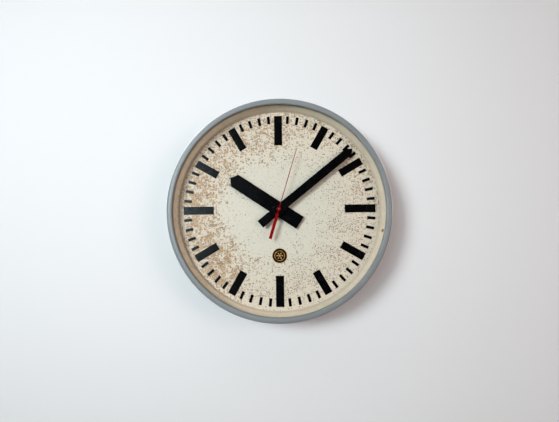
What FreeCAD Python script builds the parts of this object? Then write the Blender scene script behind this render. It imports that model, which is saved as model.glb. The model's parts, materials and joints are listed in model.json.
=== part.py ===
import FreeCAD, Part
import Sketcher
import math
import os
import re

# Round station wall clock with a mains movement.
# Every piece is drawn as the clock is seen from the front: x to the right, y up, and z as the
# distance out from the wall. It is then stood upright, so z runs along -Y and y along +Z.

sizes = {
    # Case, from the rim inwards
    "rim_radius": 200,
    "rim_sheet": 1.5,
    "rim_shoulder": 6,
    "rim_roll": 3,
    "rim_band": 11.2,
    "lip_drop": 4,
    "skirt_depth": 27,
    "skirt_gap": 0.2,
    "drum_sheet": 1.5,
    "drum_corner": 4,
    "back_flange_width": 28.3,
    "front_lip_width": 5.8,
    "glass_overlap": 5,
    "glass_thickness": 3,
    "glass_edge_gap": 0.2,
    "gasket_leg": 1.2,
    "gasket_setback": 0.5,
    # Bezel fixing
    "bezel_screw_count": 4,
    "bezel_screw_angle": 45,
    "bezel_screw_radius": 1.5,
    "bezel_screw_head": 2.8,
    "bezel_screw_rise": 7,
    "lug_width": 14,
    "lug_height": 9,
    "lug_depth": 5.5,
    # Rear cover, hanger and cable inlet
    "cover_margin": 8.3,
    "cover_sheet": 1.5,
    "cover_screw_count": 6,
    "cover_screw_angle": 30,
    "cover_screw_inset": 10,
    "cover_screw_radius": 2,
    "cover_screw_head": 3.8,
    "cover_screw_length": 7,
    "screw_slot_width": 1,
    "screw_slot_depth": 0.7,
    "cover_nut_radius": 4.5,
    "cover_nut_height": 3,
    "keyhole_radius": 6,
    "keyhole_slot_width": 6.5,
    "keyhole_rise": 15,
    "hanger_width": 76,
    "hanger_height": 54,
    "hanger_sheet": 2.5,
    "hanger_corner": 5,
    "hanger_margin": 19.5,
    "rivet_inset": 8,
    "rivet_radius": 2,
    "rivet_head": 3.4,
    "rivet_head_height": 1.4,
    "peg_margin": 40,
    "peg_radius": 2.6,
    "cable_x": -50,
    "cable_y": -108,
    "cable_radius": 5,
    "bush_wall": 4,
    "bush_flange": 3,
    "bush_flange_height": 2,
    "knob_opening": 14,
    # Dial and surround
    "dial_recess": 25,
    "dial_sheet": 1.5,
    "surround_run": 6.8,
    "dial_margin": 8,
    "dial_hole": 7,
    "surround_sheet": 1,
    "surround_foot": 1.2,
    "surround_flange_gap": 0.5,
    "cone_overlap": 1.7,
    "mark_margin": 7.5,
    "mark_thickness": 0.3,
    "minute_mark_length": 14.5,
    "minute_mark_width": 5.2,
    "long_mark_length": 55.3,
    "long_mark_width": 14.6,
    "short_mark_length": 45.2,
    "short_mark_width": 14.1,
    "emblem_gap": 22.2,
    "emblem_radius": 13.5,
    "emblem_thickness": 0.8,
    "emblem_rim": 1.6,
    "emblem_dish": 0.3,
    "bracket_count": 4,
    "bracket_angle": 8,
    "bracket_sheet": 1.5,
    "bracket_drop": 14,
    "bracket_reach": 12.5,
    "dial_screw_margin": 2.5,
    "dial_screw_radius": 1.5,
    "dial_screw_head": 2.7,
    "dial_screw_head_height": 1.8,
    "dial_screw_length": 6,
    # Hands at the time shown
    "hour_angle": 303.8,
    "minute_angle": 51.3,
    "second_angle": 17,
    "hour_lift": 4.5,
    "hour_length": 105.6,
    "hour_point": 8.7,
    "hour_tail": 45,
    "hour_width": 25.4,
    "hour_sheet": 1.5,
    "collet_radius": 9,
    "collet_height": 3,
    "minute_lift": 10,
    "minute_length": 172,
    "minute_point": 9.5,
    "minute_tail": 43,
    "minute_width": 15.4,
    "minute_sheet": 1.2,
    "boss_radius": 11,
    "boss_height": 1.8,
    "boss_edge": 0.8,
    "second_lift": 14.2,
    "second_length": 114,
    "second_tip_width": 1.1,
    "second_root_width": 1.4,
    "second_neck": 9,
    "second_tail": 55.5,
    "second_tail_width": 5.5,
    "second_sheet": 0.6,
    "second_hub_radius": 3.7,
    "second_hub_height": 0.8,
    "second_tube_radius": 2,
    "second_tube_length": 0.5,
    # Movement plates
    "plate_radius": 56,
    "plate_sheet": 1.5,
    "motion_space": 9.5,
    "train_space": 13.5,
    "post_count": 4,
    "post_inset": 6,
    "post_radius": 3.5,
    "post_thread": 2,
    "post_thread_length": 5,
    "nut_across": 7,
    "nut_height": 3.2,
    "pillar_radius": 3,
    "pillar_screw_radius": 1.5,
    "pillar_screw_head": 2.8,
    "pillar_screw_head_height": 1.6,
    "pillar_screw_reach": 5,
    # Arbors, pipes and their fits
    "running_gap": 0.06,
    "fixed_gap": 0.02,
    "screw_gap": 0.1,
    "seconds_arbor_radius": 1,
    "third_arbor_radius": 1.25,
    "setting_arbor_radius": 1.5,
    "arbor_end": 0.7,
    "tube_radius": 2.2,
    "tube_flange": 6,
    "tube_flange_height": 1.5,
    "minute_pipe_radius": 3.4,
    "minute_seat_radius": 2.9,
    "minute_pipe_end": 1.2,
    "pipe_collar_radius": 4.6,
    "pipe_collar_height": 0.6,
    "pipe_end_gap": 0.4,
    "hour_pipe_radius": 4.6,
    "hour_pipe_end": 0.4,
    "bush_radius": 3.2,
    "bush_proud": 0.4,
    # Wheels: modules, teeth, widths and where each stands
    "pressure_angle": 25,
    "tooth_addendum": 0.8,
    "tooth_dedendum": 1.05,
    "mesh_play": 0.2,
    "motor_module": 0.6,
    "third_module": 0.5,
    "motion_module": 0.8,
    "motor_teeth": 12,
    "seconds_wheel_teeth": 48,
    "seconds_pinion_teeth": 10,
    "third_wheel_teeth": 80,
    "third_pinion_teeth": 10,
    "minute_wheel_teeth": 75,
    "cannon_teeth": 15,
    "motion_wheel_teeth": 45,
    "motion_pinion_teeth": 12,
    "hour_wheel_teeth": 48,
    "motor_bearing": 180,
    "third_bearing": 30,
    "motion_bearing": 290,
    "wheel_sheet": 1.2,
    "pinion_width": 2.6,
    "layer_gap": 0.6,
    "crossing_count": 5,
    "spring_sheet": 0.5,
    "spring_radius": 9,
    # Setting knob
    "knob_recess": 2,
    "knob_radius": 8,
    "knob_height": 8,
    "knob_edge": 1,
    # Motor
    "motor_clearance": 4.5,
    "capsule_radius": 11,
    "capsule_length": 12.5,
    "capsule_edge": 1,
    "capsule_spigot": 6,
    "capsule_shaft_radius": 1,
    "capsule_shaft_depth": 3,
    "core_gap": 0.3,
    "core_stack": 6,
    "core_standoff": 4.5,
    "core_height": 36,
    "core_margin": 4,
    "core_bridge": 11,
    "core_window": 6,
    "core_leg": 10.5,
    "core_arm": 7,
    "bobbin_wall": 1,
    "bobbin_gap": 0.2,
    "bobbin_flange": 1.2,
    "winding_build": 2.6,
    "flange_rim": 0.4,
    "motor_screw_spread": 14.5,
    "motor_screw_radius": 1.5,
    "motor_screw_head": 2.8,
    "motor_screw_head_height": 1.8,
    "spacer_radius": 3,
    # Mains terminals and leads
    "terminal_x": -50,
    "terminal_y": -70,
    "terminal_length": 46,
    "terminal_width": 20,
    "terminal_height": 14,
    "terminal_corner": 1,
    "clamp_count": 4,
    "clamp_pitch": 9,
    "clamp_radius": 2.6,
    "clamp_depth": 8,
    "clamp_proud": 1.5,
    "terminal_screw_spread": 20,
    "terminal_screw_radius": 1.2,
    "terminal_screw_head": 2.2,
    "terminal_screw_head_height": 1.5,
    "lead_radius": 0.9,
    "lead_spread": 5,
    "lead_sway": 4,
}

vector = FreeCAD.Vector
upright = FreeCAD.Rotation(vector(1, 0, 0), 90)
zero = "0"
tiny = 1e-9

doc = FreeCAD.newDocument("station_clock")
sheet = doc.addObject("Spreadsheet::Sheet", "dim")
pieces = []


def fill_sheet():
    for row, (alias, size) in enumerate(sizes.items(), start=1):
        sheet.set(f"A{row}", alias.replace("_", " "))
        sheet.set(f"B{row}", str(size))
        sheet.setAlias(f"B{row}", alias)
    doc.recompute()


def formula(text):
    """The text with every size's name turned into its cell."""
    def cell(word):
        return "dim." + word[0] if word[0] in sizes else word[0]
    return re.sub(r"[a-z][a-z_0-9]*", cell, text)


def value(text):
    return float(sheet.evalExpression(formula(text)))


def bind(thing, path, text):
    thing.setExpression(path, formula(text))


# Levels, as distances from the wall: the movement is stacked on the cover, the dial on the movement
cover_top = "cover_sheet"
flange_top = "(cover_sheet + drum_sheet)"
rear_plate_back = "(cover_sheet + motor_clearance + capsule_length)"
rear_plate_face = f"({rear_plate_back} + plate_sheet)"
front_plate_back = f"({rear_plate_face} + train_space)"
front_plate_face = f"({front_plate_back} + plate_sheet)"
dial_back = f"({front_plate_face} + motion_space)"
dial_front = f"({dial_back} + dial_sheet)"
case_depth = f"({dial_front} + dial_recess)"
lip_edge = f"({case_depth} - lip_drop)"
glass_front = f"({lip_edge} - gasket_leg)"
glass_back = f"({glass_front} - glass_thickness)"
surround_top = f"({glass_back} - gasket_leg)"
drum_front = f"({surround_top} - surround_sheet)"
skirt_edge = f"({case_depth} - skirt_depth)"
bezel_screw_level = f"({skirt_edge} + bezel_screw_rise)"
hour_hand_back = f"({dial_front} + hour_lift)"
minute_hand_back = f"({dial_front} + minute_lift)"
second_hand_back = f"({dial_front} + second_lift)"
minute_pipe_top = f"({minute_hand_back} + minute_sheet + minute_pipe_end)"
core_front = f"({rear_plate_back} - core_standoff)"
core_back = f"({core_front} - core_stack)"

# Wheel layers: behind the front plate, then in front of it
seconds_wheel_level = f"({rear_plate_face} + 2 * layer_gap)"
seconds_pinion_level = f"({seconds_wheel_level} + wheel_sheet + layer_gap)"
third_wheel_level = f"({seconds_pinion_level} + (pinion_width - wheel_sheet) / 2)"
motor_pinion_level = f"({seconds_wheel_level} - (pinion_width - wheel_sheet) / 2)"
minute_wheel_level = f"({front_plate_face} + layer_gap + pipe_collar_height)"
third_pinion_level = f"({minute_wheel_level} - (pinion_width - wheel_sheet) / 2)"
spring_level = f"({minute_wheel_level} + wheel_sheet)"
cannon_level = f"({spring_level} + spring_sheet)"
motion_wheel_level = f"({cannon_level} + (pinion_width - wheel_sheet) / 2)"
motion_pinion_level = f"({motion_wheel_level} + wheel_sheet)"
hour_wheel_level = f"({cannon_level} + pinion_width + layer_gap)"
setting_arbor_top = f"({motion_pinion_level} + pinion_width)"

# Radii that several pieces share, all from the rim inwards
drum_radius = "(rim_radius - rim_sheet - skirt_gap)"
drum_inside = f"({drum_radius} - drum_sheet)"
flange_inside = f"({drum_radius} - back_flange_width)"
rim_opening = "(rim_radius - rim_band)"
glass_radius = f"({rim_opening} + glass_overlap)"
gasket_inside = f"({rim_opening} + gasket_setback)"
gasket_groove = f"({glass_radius} + glass_edge_gap)"
cone_top = f"({rim_opening} + cone_overlap)"
dial_flat_radius = f"({rim_opening} - surround_run)"
mark_outer = f"({dial_flat_radius} - mark_margin)"
emblem_drop = f"({mark_outer} - long_mark_length - emblem_gap - emblem_radius)"
dial_edge = f"({dial_flat_radius} + dial_margin)"
dial_screw_ring = f"({dial_edge} - dial_screw_margin)"
cover_radius = f"({drum_radius} - cover_margin)"
cover_screw_ring = f"({cover_radius} - cover_screw_inset)"
peg_drop = f"({cover_radius} - peg_margin)"
hanger_middle = f"({flange_inside} - hanger_margin - hanger_height / 2)"
keyhole_height = f"({hanger_middle} - keyhole_rise / 2)"
post_ring = "(plate_radius - post_inset)"
pillar_bearing = "(180 / post_count)"
cable_hole = "(cable_radius + bush_wall)"
tube_bore = "(seconds_arbor_radius + running_gap)"
minute_bore = "(tube_radius + running_gap)"
hour_bore = "(minute_pipe_radius + running_gap)"

# Where the arbors stand
motor_distance = "(motor_module * (motor_teeth + seconds_wheel_teeth) / 2 + mesh_play)"
third_distance = "(third_module * (seconds_pinion_teeth + third_wheel_teeth) / 2 + mesh_play)"
motion_distance = "(motion_module * (cannon_teeth + motion_wheel_teeth) / 2 + mesh_play)"
minute_module = ("(third_module * (seconds_pinion_teeth + third_wheel_teeth)"
                 " / (third_pinion_teeth + minute_wheel_teeth))")
hour_module = ("(motion_module * (cannon_teeth + motion_wheel_teeth)"
               " / (motion_pinion_teeth + hour_wheel_teeth))")
motor_spot = (f"({motor_distance} * cos(motor_bearing))", f"({motor_distance} * sin(motor_bearing))")
third_spot = (f"({third_distance} * cos(third_bearing))", f"({third_distance} * sin(third_bearing))")
setting_spot = (f"({motion_distance} * cos(motion_bearing))", f"({motion_distance} * sin(motion_bearing))")
centre_spot = (zero, zero)


def origin_feature(body, role):
    for feature in body.Origin.OriginFeatures:
        if feature.Role == role:
            return feature


def new_body(label, spot=centre_spot):
    body = doc.addObject("PartDesign::Body", label)
    body.Label = label
    body.Placement = FreeCAD.Placement(vector(0, 0, 0), upright)
    bind(body, "Placement.Base.x", spot[0])
    bind(body, "Placement.Base.z", spot[1])
    pieces.append(body)
    return body


def new_sketch(body, plane, spot=centre_spot, level=zero, turn=zero):
    """A sketch on a plane of the body, moved to the spot and level and turned about z."""
    sketch = body.newObject("Sketcher::SketchObject", body.Name + "_outline")
    sketch.AttachmentSupport = [(origin_feature(body, plane), "")]
    sketch.MapMode = "FlatFace"
    lying = plane == "XY_Plane"
    axis = vector(0, 0, 1) if lying else vector(0, 1, 0)
    sketch.AttachmentOffset = FreeCAD.Placement(vector(0, 0, 0), FreeCAD.Rotation(axis, value(turn)))
    across, up, out = (spot[0], spot[1], level) if lying else (spot[0], level, f"-({spot[1]})")
    bind(sketch, "AttachmentOffset.Base.x", across)
    bind(sketch, "AttachmentOffset.Base.y", up)
    bind(sketch, "AttachmentOffset.Base.z", out)
    if turn != zero:
        bind(sketch, "AttachmentOffset.Rotation.Angle", turn)
    return sketch


def measure(sketch, kind, geometry, position, text):
    place = (geometry, position) if position else (geometry,)
    index = sketch.addConstraint(Sketcher.Constraint(kind, *place, value(text)))
    bind(sketch, f"Constraints[{index}]", text)


def pin_point(sketch, geometry, position, x, y):
    """Holds a point at x, y, on an axis where a coordinate is nothing."""
    vertical_axis = -2
    horizontal_axis = -1
    for kind, text, axis in (("DistanceX", x, vertical_axis), ("DistanceY", y, horizontal_axis)):
        if abs(value(text)) < tiny:
            sketch.addConstraint(Sketcher.Constraint("PointOnObject", geometry, position, axis))
        else:
            measure(sketch, kind, geometry, position, text)


def draw_circle(sketch, x, y, radius):
    round_edge = Part.Circle(vector(value(x), value(y), 0), vector(0, 0, 1), value(radius))
    index = sketch.addGeometry(round_edge, False)
    if abs(value(x)) < tiny and abs(value(y)) < tiny:
        sketch.addConstraint(Sketcher.Constraint("Coincident", index, 3, -1, 1))
    else:
        pin_point(sketch, index, 3, x, y)
    measure(sketch, "Radius", index, 0, radius)


def corner_arc(before, corner, after, radius):
    """The two tangent points and the arc that round a corner, and whether it turns left."""
    inward = (before - corner).normalize()
    outward = (after - corner).normalize()
    half = inward.getAngle(outward) / 2
    start = corner + inward * (radius / math.tan(half))
    end = corner + outward * (radius / math.tan(half))
    centre = corner + (inward + outward).normalize() * (radius / math.sin(half))
    left = (corner - before).cross(after - corner).z > 0
    first, last = (start, end) if left else (end, start)
    angles = [math.atan2(point.y - centre.y, point.x - centre.x) for point in (first, last)]
    arc = Part.ArcOfCircle(Part.Circle(centre, vector(0, 0, 1), radius), *angles)
    return start, end, arc, left


def draw_outline(sketch, corners):
    """A closed outline through (x, y) corners, or (x, y, radius) where a corner is rounded."""
    points = [vector(value(corner[0]), value(corner[1]), 0) for corner in corners]
    count = len(corners)
    starts = list(points)
    ends = list(points)
    arcs = {}
    for i, corner in enumerate(corners):
        if len(corner) == 3:
            rounding = corner_arc(points[i - 1], points[i], points[(i + 1) % count], value(corner[2]))
            starts[i], ends[i] = rounding[0], rounding[1]
            arcs[i] = rounding[2:]
    lines = []
    for i in range(count):
        side = Part.LineSegment(ends[i], starts[(i + 1) % count])
        lines.append(sketch.addGeometry(side, False))
    for i, corner in enumerate(corners):
        line_in, line_out = lines[i - 1], lines[i]
        if i not in arcs:
            sketch.addConstraint(Sketcher.Constraint("Coincident", line_in, 2, line_out, 1))
            pin_point(sketch, line_out, 1, corner[0], corner[1])
            continue
        shape, left = arcs[i]
        arc = sketch.addGeometry(shape, False)
        arc_in, arc_out = (1, 2) if left else (2, 1)
        apex = sketch.addGeometry(Part.Point(points[i]), True)
        sketch.addConstraint(Sketcher.Constraint("Tangent", line_in, 2, arc, arc_in))
        sketch.addConstraint(Sketcher.Constraint("Tangent", arc, arc_out, line_out, 1))
        sketch.addConstraint(Sketcher.Constraint("PointOnObject", apex, 1, line_in))
        sketch.addConstraint(Sketcher.Constraint("PointOnObject", apex, 1, line_out))
        pin_point(sketch, apex, 1, corner[0], corner[1])
        measure(sketch, "Radius", arc, 0, corner[2])


def spin(body, sketch, axis, cut=False, sweep="360"):
    kind = "Groove" if cut else "Revolution"
    feature = body.newObject("PartDesign::" + kind, body.Name + "_" + kind.lower())
    feature.Profile = sketch
    feature.ReferenceAxis = (sketch, [axis])
    bind(feature, "Angle", sweep)
    feature.Midplane = sweep != "360"
    return feature


def turn(body, corners, spot=centre_spot, cut=False):
    """A solid, or a hole, turned about an axis that stands on the dial at the spot."""
    sketch = new_sketch(body, "XZ_Plane", spot)
    draw_outline(sketch, corners)
    return spin(body, sketch, "V_Axis", cut)


def turn_radially(body, corners, level, bearing, cut=False):
    """A solid, or a hole, turned about an axis that points out from the centre."""
    sketch = new_sketch(body, "XY_Plane", level=level, turn=bearing)
    draw_outline(sketch, corners)
    return spin(body, sketch, "H_Axis", cut)


def bore(body, radius, low, high, spot=centre_spot):
    """A round hole from one level to another."""
    return turn(body, [(zero, low), (radius, low), (radius, high), (zero, high)], spot, cut=True)


def pad(body, sketch, height):
    feature = body.newObject("PartDesign::Pad", body.Name + "_pad")
    feature.Profile = sketch
    bind(feature, "Length", height)
    return feature


def slab(body, low, height, corners=None, radius=None, holes=(), spot=centre_spot, turn_by=zero):
    """A flat piece with a straight or round outline, and round holes as (x, y, radius)."""
    sketch = new_sketch(body, "XY_Plane", spot, low, turn_by)
    if corners:
        draw_outline(sketch, corners)
    else:
        draw_circle(sketch, zero, zero, radius)
    for hole in holes:
        draw_circle(sketch, *hole)
    return pad(body, sketch, height)


def pocket(body, top, depth, corners, spot=centre_spot, turn_by=zero, upward=False):
    """A straight-sided cut, downwards from a level unless it is upward."""
    sketch = new_sketch(body, "XY_Plane", spot, top, turn_by)
    draw_outline(sketch, corners)
    feature = body.newObject("PartDesign::Pocket", body.Name + "_pocket")
    feature.Profile = sketch
    bind(feature, "Length", depth)
    feature.Reversed = upward
    return feature


def around(body, features, count):
    """Repeats the features evenly round the clock's own axis."""
    ring = body.newObject("PartDesign::PolarPattern", body.Name + "_ring")
    ring.Originals = features
    ring.Axis = (origin_feature(body, "Z_Axis"), [""])
    ring.Angle = 360
    bind(ring, "Occurrences", count)
    body.Tip = ring


def rectangle(width, height, radius=None):
    corners = []
    for across, up in (("-", "-"), ("", "-"), ("", ""), ("-", "")):
        corner = (f"{across}({width}) / 2", f"{up}({height}) / 2")
        corners.append(corner + (radius,) if radius else corner)
    return corners


def ring_corners(inside, outside, low, high):
    return [(inside, low), (outside, low), (outside, high), (inside, high)]


def rod_corners(radius, low, high):
    return ring_corners(zero, radius, low, high)


def polar(ring, bearing):
    return (f"(({ring}) * cos({bearing}))", f"(({ring}) * sin({bearing}))")


def block(name, x, y, z):
    """A plain box between pairs of coordinates, already standing upright."""
    box = doc.addObject("Part::Box", name)
    bind(box, "Length", f"({x[1]}) - ({x[0]})")
    bind(box, "Width", f"({z[1]}) - ({z[0]})")
    bind(box, "Height", f"({y[1]}) - ({y[0]})")
    bind(box, "Placement.Base.x", x[0])
    bind(box, "Placement.Base.y", f"-({z[1]})")
    bind(box, "Placement.Base.z", y[0])
    return box


def cut_out(name, base, tool):
    result = doc.addObject("Part::Cut", name)
    result.Base = base
    result.Tool = tool
    return result


def keep(piece, label):
    piece.Label = label
    pieces.append(piece)


# Case

def make_case_drum():
    body = new_body("case_drum")
    lip_inside = f"({drum_radius} - front_lip_width)"
    lip_back = f"({drum_front} - drum_sheet)"
    turn(body, [
        (flange_inside, cover_top),
        (drum_radius, cover_top, "drum_corner"),
        (drum_radius, drum_front),
        (lip_inside, drum_front),
        (lip_inside, lip_back),
        (drum_inside, lip_back),
        (drum_inside, flange_top, "drum_corner - drum_sheet"),
        (flange_inside, flange_top),
    ])
    hole = bore(body, "cover_screw_radius + screw_gap", cover_top, flange_top,
                polar(cover_screw_ring, "cover_screw_angle"))
    around(body, [hole], "cover_screw_count")
    wall_hole = turn_radially(body, [
        (f"{drum_inside} - drum_sheet", zero),
        ("rim_radius", zero),
        ("rim_radius", "bezel_screw_radius + screw_gap"),
        (f"{drum_inside} - drum_sheet", "bezel_screw_radius + screw_gap"),
    ], bezel_screw_level, "bezel_screw_angle", cut=True)
    around(body, [wall_hole], "bezel_screw_count")


def bezel_screw_corners(outer, head, shank, inner):
    """A countersunk screw that lies along a radius, from its head inwards."""
    return [
        (outer, zero),
        (outer, head),
        (f"{outer} - rim_sheet + skirt_gap", shank),
        (inner, shank),
        (inner, zero),
    ]


def make_front_bezel():
    body = new_body("front_bezel")
    inner_edge = f"({rim_opening} + rim_sheet)"
    skirt_inside = "(rim_radius - rim_sheet)"
    under = f"({case_depth} - rim_sheet)"
    turn(body, [
        ("rim_radius", skirt_edge),
        ("rim_radius", case_depth, "rim_shoulder"),
        (rim_opening, case_depth, "rim_roll"),
        (rim_opening, lip_edge),
        (inner_edge, lip_edge),
        (inner_edge, under, "rim_roll - rim_sheet"),
        (skirt_inside, under, "rim_shoulder - rim_sheet"),
        (skirt_inside, skirt_edge),
    ])
    sink = turn_radially(body, bezel_screw_corners(
        "rim_radius", "bezel_screw_head + screw_gap", "bezel_screw_radius + screw_gap", drum_radius,
    ), bezel_screw_level, "bezel_screw_angle", cut=True)
    around(body, [sink], "bezel_screw_count")


def make_bezel_screws():
    body = new_body("bezel_screws")
    lug_inside = f"({drum_inside} - lug_depth)"
    screw = turn_radially(body, bezel_screw_corners(
        "(rim_radius - screw_gap)", "bezel_screw_head", "bezel_screw_radius", lug_inside,
    ), bezel_screw_level, "bezel_screw_angle")
    around(body, [screw], "bezel_screw_count")


def make_bezel_lugs():
    body = new_body("bezel_lugs")
    lug_face = f"sqrt({drum_inside}^2 - (lug_width / 2)^2)"
    lug_inside = f"({drum_inside} - lug_depth)"
    lug_level = f"({bezel_screw_level} - lug_height / 2)"
    lug = slab(body, lug_level, "lug_height", [
        (lug_inside, "-lug_width / 2"),
        (lug_face, "-lug_width / 2"),
        (lug_face, "lug_width / 2"),
        (lug_inside, "lug_width / 2"),
    ], turn_by="bezel_screw_angle")
    hole = turn_radially(body, [
        (f"{lug_inside} - lug_depth", zero),
        (drum_radius, zero),
        (drum_radius, "bezel_screw_radius + running_gap"),
        (f"{lug_inside} - lug_depth", "bezel_screw_radius + running_gap"),
    ], bezel_screw_level, "bezel_screw_angle", cut=True)
    around(body, [lug, hole], "bezel_screw_count")


def make_glass():
    slab(new_body("glass"), glass_back, "glass_thickness", radius=glass_radius)


def make_glass_gasket():
    outside = f"({gasket_groove} + gasket_leg)"
    turn(new_body("glass_gasket"), [
        (gasket_inside, surround_top),
        (outside, surround_top),
        (outside, lip_edge),
        (gasket_inside, lip_edge),
        (gasket_inside, glass_front),
        (gasket_groove, glass_front),
        (gasket_groove, glass_back),
        (gasket_inside, glass_back),
    ])


# Rear cover

def cut_keyhole_slot(body, top, depth):
    half = "keyhole_slot_width / 2"
    end = f"({keyhole_height} + keyhole_rise + keyhole_slot_width / 2)"
    pocket(body, top, depth, [
        (f"-{half}", keyhole_height),
        (half, keyhole_height),
        (half, end, "0.9 * keyhole_slot_width / 2"),
        (f"-{half}", end, "0.9 * keyhole_slot_width / 2"),
    ])


def rivet_spots():
    across = "(hanger_width / 2 - rivet_inset)"
    up = "(hanger_height / 2 - rivet_inset)"
    spots = []
    for side in ("-", ""):
        for rise in ("-", "+"):
            spots.append((side + across, f"({hanger_middle} {rise} {up})"))
    return spots


def terminal_screw_spots():
    return [(f"(terminal_x {side} terminal_screw_spread)", "terminal_y") for side in ("-", "+")]


def make_rear_cover():
    body = new_body("rear_cover")
    holes = [
        (zero, keyhole_height, "keyhole_radius"),
        (zero, f"-{peg_drop}", "peg_radius"),
        ("cable_x", "cable_y", f"{cable_hole} + running_gap"),
        setting_spot + ("knob_opening",),
    ]
    holes += [spot + ("rivet_radius + fixed_gap",) for spot in rivet_spots()]
    holes += [spot + ("terminal_screw_radius + fixed_gap",) for spot in terminal_screw_spots()]
    slab(body, zero, "cover_sheet", radius=cover_radius, holes=holes)
    cut_keyhole_slot(body, cover_top, "cover_sheet")
    sink = turn(body, [
        (zero, zero),
        ("cover_screw_head + screw_gap", zero),
        ("cover_screw_radius + screw_gap", cover_top),
        (zero, cover_top),
    ], polar(cover_screw_ring, "cover_screw_angle"), cut=True)
    around(body, [sink], "cover_screw_count")


def make_cover_screws():
    body = new_body("cover_screws")
    spot = polar(cover_screw_ring, "cover_screw_angle")
    screw = turn(body, [
        (zero, zero),
        ("cover_screw_head", zero),
        ("cover_screw_radius", cover_top),
        ("cover_screw_radius", "cover_screw_length"),
        (zero, "cover_screw_length"),
    ], spot)
    slot = pocket(body, zero, "screw_slot_depth", rectangle("3 * cover_screw_head", "screw_slot_width"),
                  spot, upward=True)
    around(body, [screw, slot], "cover_screw_count")


def make_cover_nuts():
    body = new_body("cover_nuts")
    nut = turn(body, ring_corners("cover_screw_radius + running_gap", "cover_nut_radius", flange_top,
                                  f"{flange_top} + cover_nut_height"),
               polar(cover_screw_ring, "cover_screw_angle"))
    around(body, [nut], "cover_screw_count")


def make_hanger_plate():
    body = new_body("hanger_plate")
    top = "(cover_sheet + hanger_sheet)"
    slab(body, cover_top, "hanger_sheet", rectangle("hanger_width", "hanger_height", "hanger_corner"),
         spot=(zero, hanger_middle))
    bore(body, "keyhole_radius", cover_top, top, (zero, keyhole_height))
    for spot in rivet_spots():
        bore(body, "rivet_radius + fixed_gap", cover_top, top, spot)
    cut_keyhole_slot(body, top, "hanger_sheet")


def make_hanger_rivets():
    body = new_body("hanger_rivets")
    head_level = "(cover_sheet + hanger_sheet)"
    for spot in rivet_spots():
        turn(body, [
            (zero, zero),
            ("rivet_radius", zero),
            ("rivet_radius", head_level),
            ("rivet_head", head_level),
            ("rivet_head / 2", f"{head_level} + rivet_head_height"),
            (zero, f"{head_level} + rivet_head_height"),
        ], spot)


def make_cable_bush():
    top = "(cover_sheet + bush_flange_height)"
    turn(new_body("cable_bush", ("cable_x", "cable_y")), [
        ("cable_radius", zero),
        (cable_hole, zero),
        (cable_hole, cover_top),
        (f"{cable_hole} + bush_flange", cover_top),
        (f"{cable_hole} + bush_flange", top),
        ("cable_radius", top),
    ])


# Dial

def make_dial_surround():
    flange_edge = f"({drum_radius} - surround_flange_gap)"
    turn(new_body("dial_surround"), [
        (dial_flat_radius, dial_front),
        (f"{dial_flat_radius} + surround_foot", dial_front),
        (f"{cone_top} + surround_foot / 2", drum_front),
        (flange_edge, drum_front),
        (flange_edge, surround_top),
        (cone_top, surround_top),
    ])


def make_dial_plate():
    body = new_body("dial_plate")
    slab(body, dial_back, "dial_sheet", radius=dial_edge, holes=[(zero, zero, "dial_hole")])
    hole = bore(body, "dial_screw_radius + screw_gap", dial_back, dial_front, (dial_screw_ring, zero))
    around(body, [hole], "bracket_count")


def make_dial_brackets():
    body = new_body("dial_brackets")
    wall_face = f"({drum_inside} - fixed_gap)"
    tab_back = f"({dial_back} - bracket_sheet)"
    sketch = new_sketch(body, "XZ_Plane")
    draw_outline(sketch, [
        (f"{wall_face} - bracket_reach", tab_back),
        (f"{wall_face} - bracket_sheet", tab_back),
        (f"{wall_face} - bracket_sheet", f"{dial_back} - bracket_drop"),
        (wall_face, f"{dial_back} - bracket_drop"),
        (wall_face, dial_back),
        (f"{wall_face} - bracket_reach", dial_back),
    ])
    bracket = spin(body, sketch, "V_Axis", sweep="bracket_angle")
    hole = bore(body, "dial_screw_radius + running_gap", tab_back, dial_back, (dial_screw_ring, zero))
    around(body, [bracket, hole], "bracket_count")


def make_dial_screws():
    body = new_body("dial_screws")
    screw = turn(body, [
        (zero, f"{dial_front} - dial_screw_length"),
        ("dial_screw_radius", f"{dial_front} - dial_screw_length"),
        ("dial_screw_radius", dial_front),
        ("dial_screw_head", dial_front),
        ("dial_screw_head", f"{dial_front} + dial_screw_head_height"),
        (zero, f"{dial_front} + dial_screw_head_height"),
    ], (dial_screw_ring, zero))
    around(body, [screw], "bracket_count")


def bar(body, length, width, bearing):
    """One painted bar, its outer end on the common circle, at a bearing from twelve o'clock."""
    return slab(body, dial_front, "mark_thickness", [
        (f"-{width} / 2", f"{mark_outer} - {length}"),
        (f"{width} / 2", f"{mark_outer} - {length}"),
        (f"{width} / 2", mark_outer),
        (f"-{width} / 2", mark_outer),
    ], turn_by=f"-{bearing}")


def make_hour_marks():
    body = new_body("hour_marks")
    quarters = 4
    bars = [bar(body, "long_mark_length", "long_mark_width", 360)]
    for bearing in (30, 60):
        bars.append(bar(body, "short_mark_length", "short_mark_width", bearing))
    around(body, bars, str(quarters))


def make_minute_marks():
    body = new_body("minute_marks")
    hours = 12
    bars = [bar(body, "minute_mark_length", "minute_mark_width", 6 * minute) for minute in (1, 2, 3, 4)]
    around(body, bars, str(hours))


def make_dial_emblem():
    top = f"({dial_front} + emblem_thickness)"
    turn(new_body("dial_emblem", (zero, f"-{emblem_drop}")), [
        (zero, dial_front),
        ("emblem_radius", dial_front),
        ("emblem_radius", top),
        ("emblem_radius - emblem_rim", top),
        ("emblem_radius - emblem_rim", f"{top} - emblem_dish"),
        (zero, f"{top} - emblem_dish"),
    ])


def make_dial_posts():
    body = new_body("dial_posts")
    thread_end = f"({front_plate_back} - post_thread_length)"
    post = turn(body, [
        (zero, thread_end),
        ("post_thread", thread_end),
        ("post_thread", front_plate_face),
        ("post_radius", front_plate_face),
        ("post_radius", dial_back),
        (zero, dial_back),
    ], (post_ring, zero))
    around(body, [post], "post_count")


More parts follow.
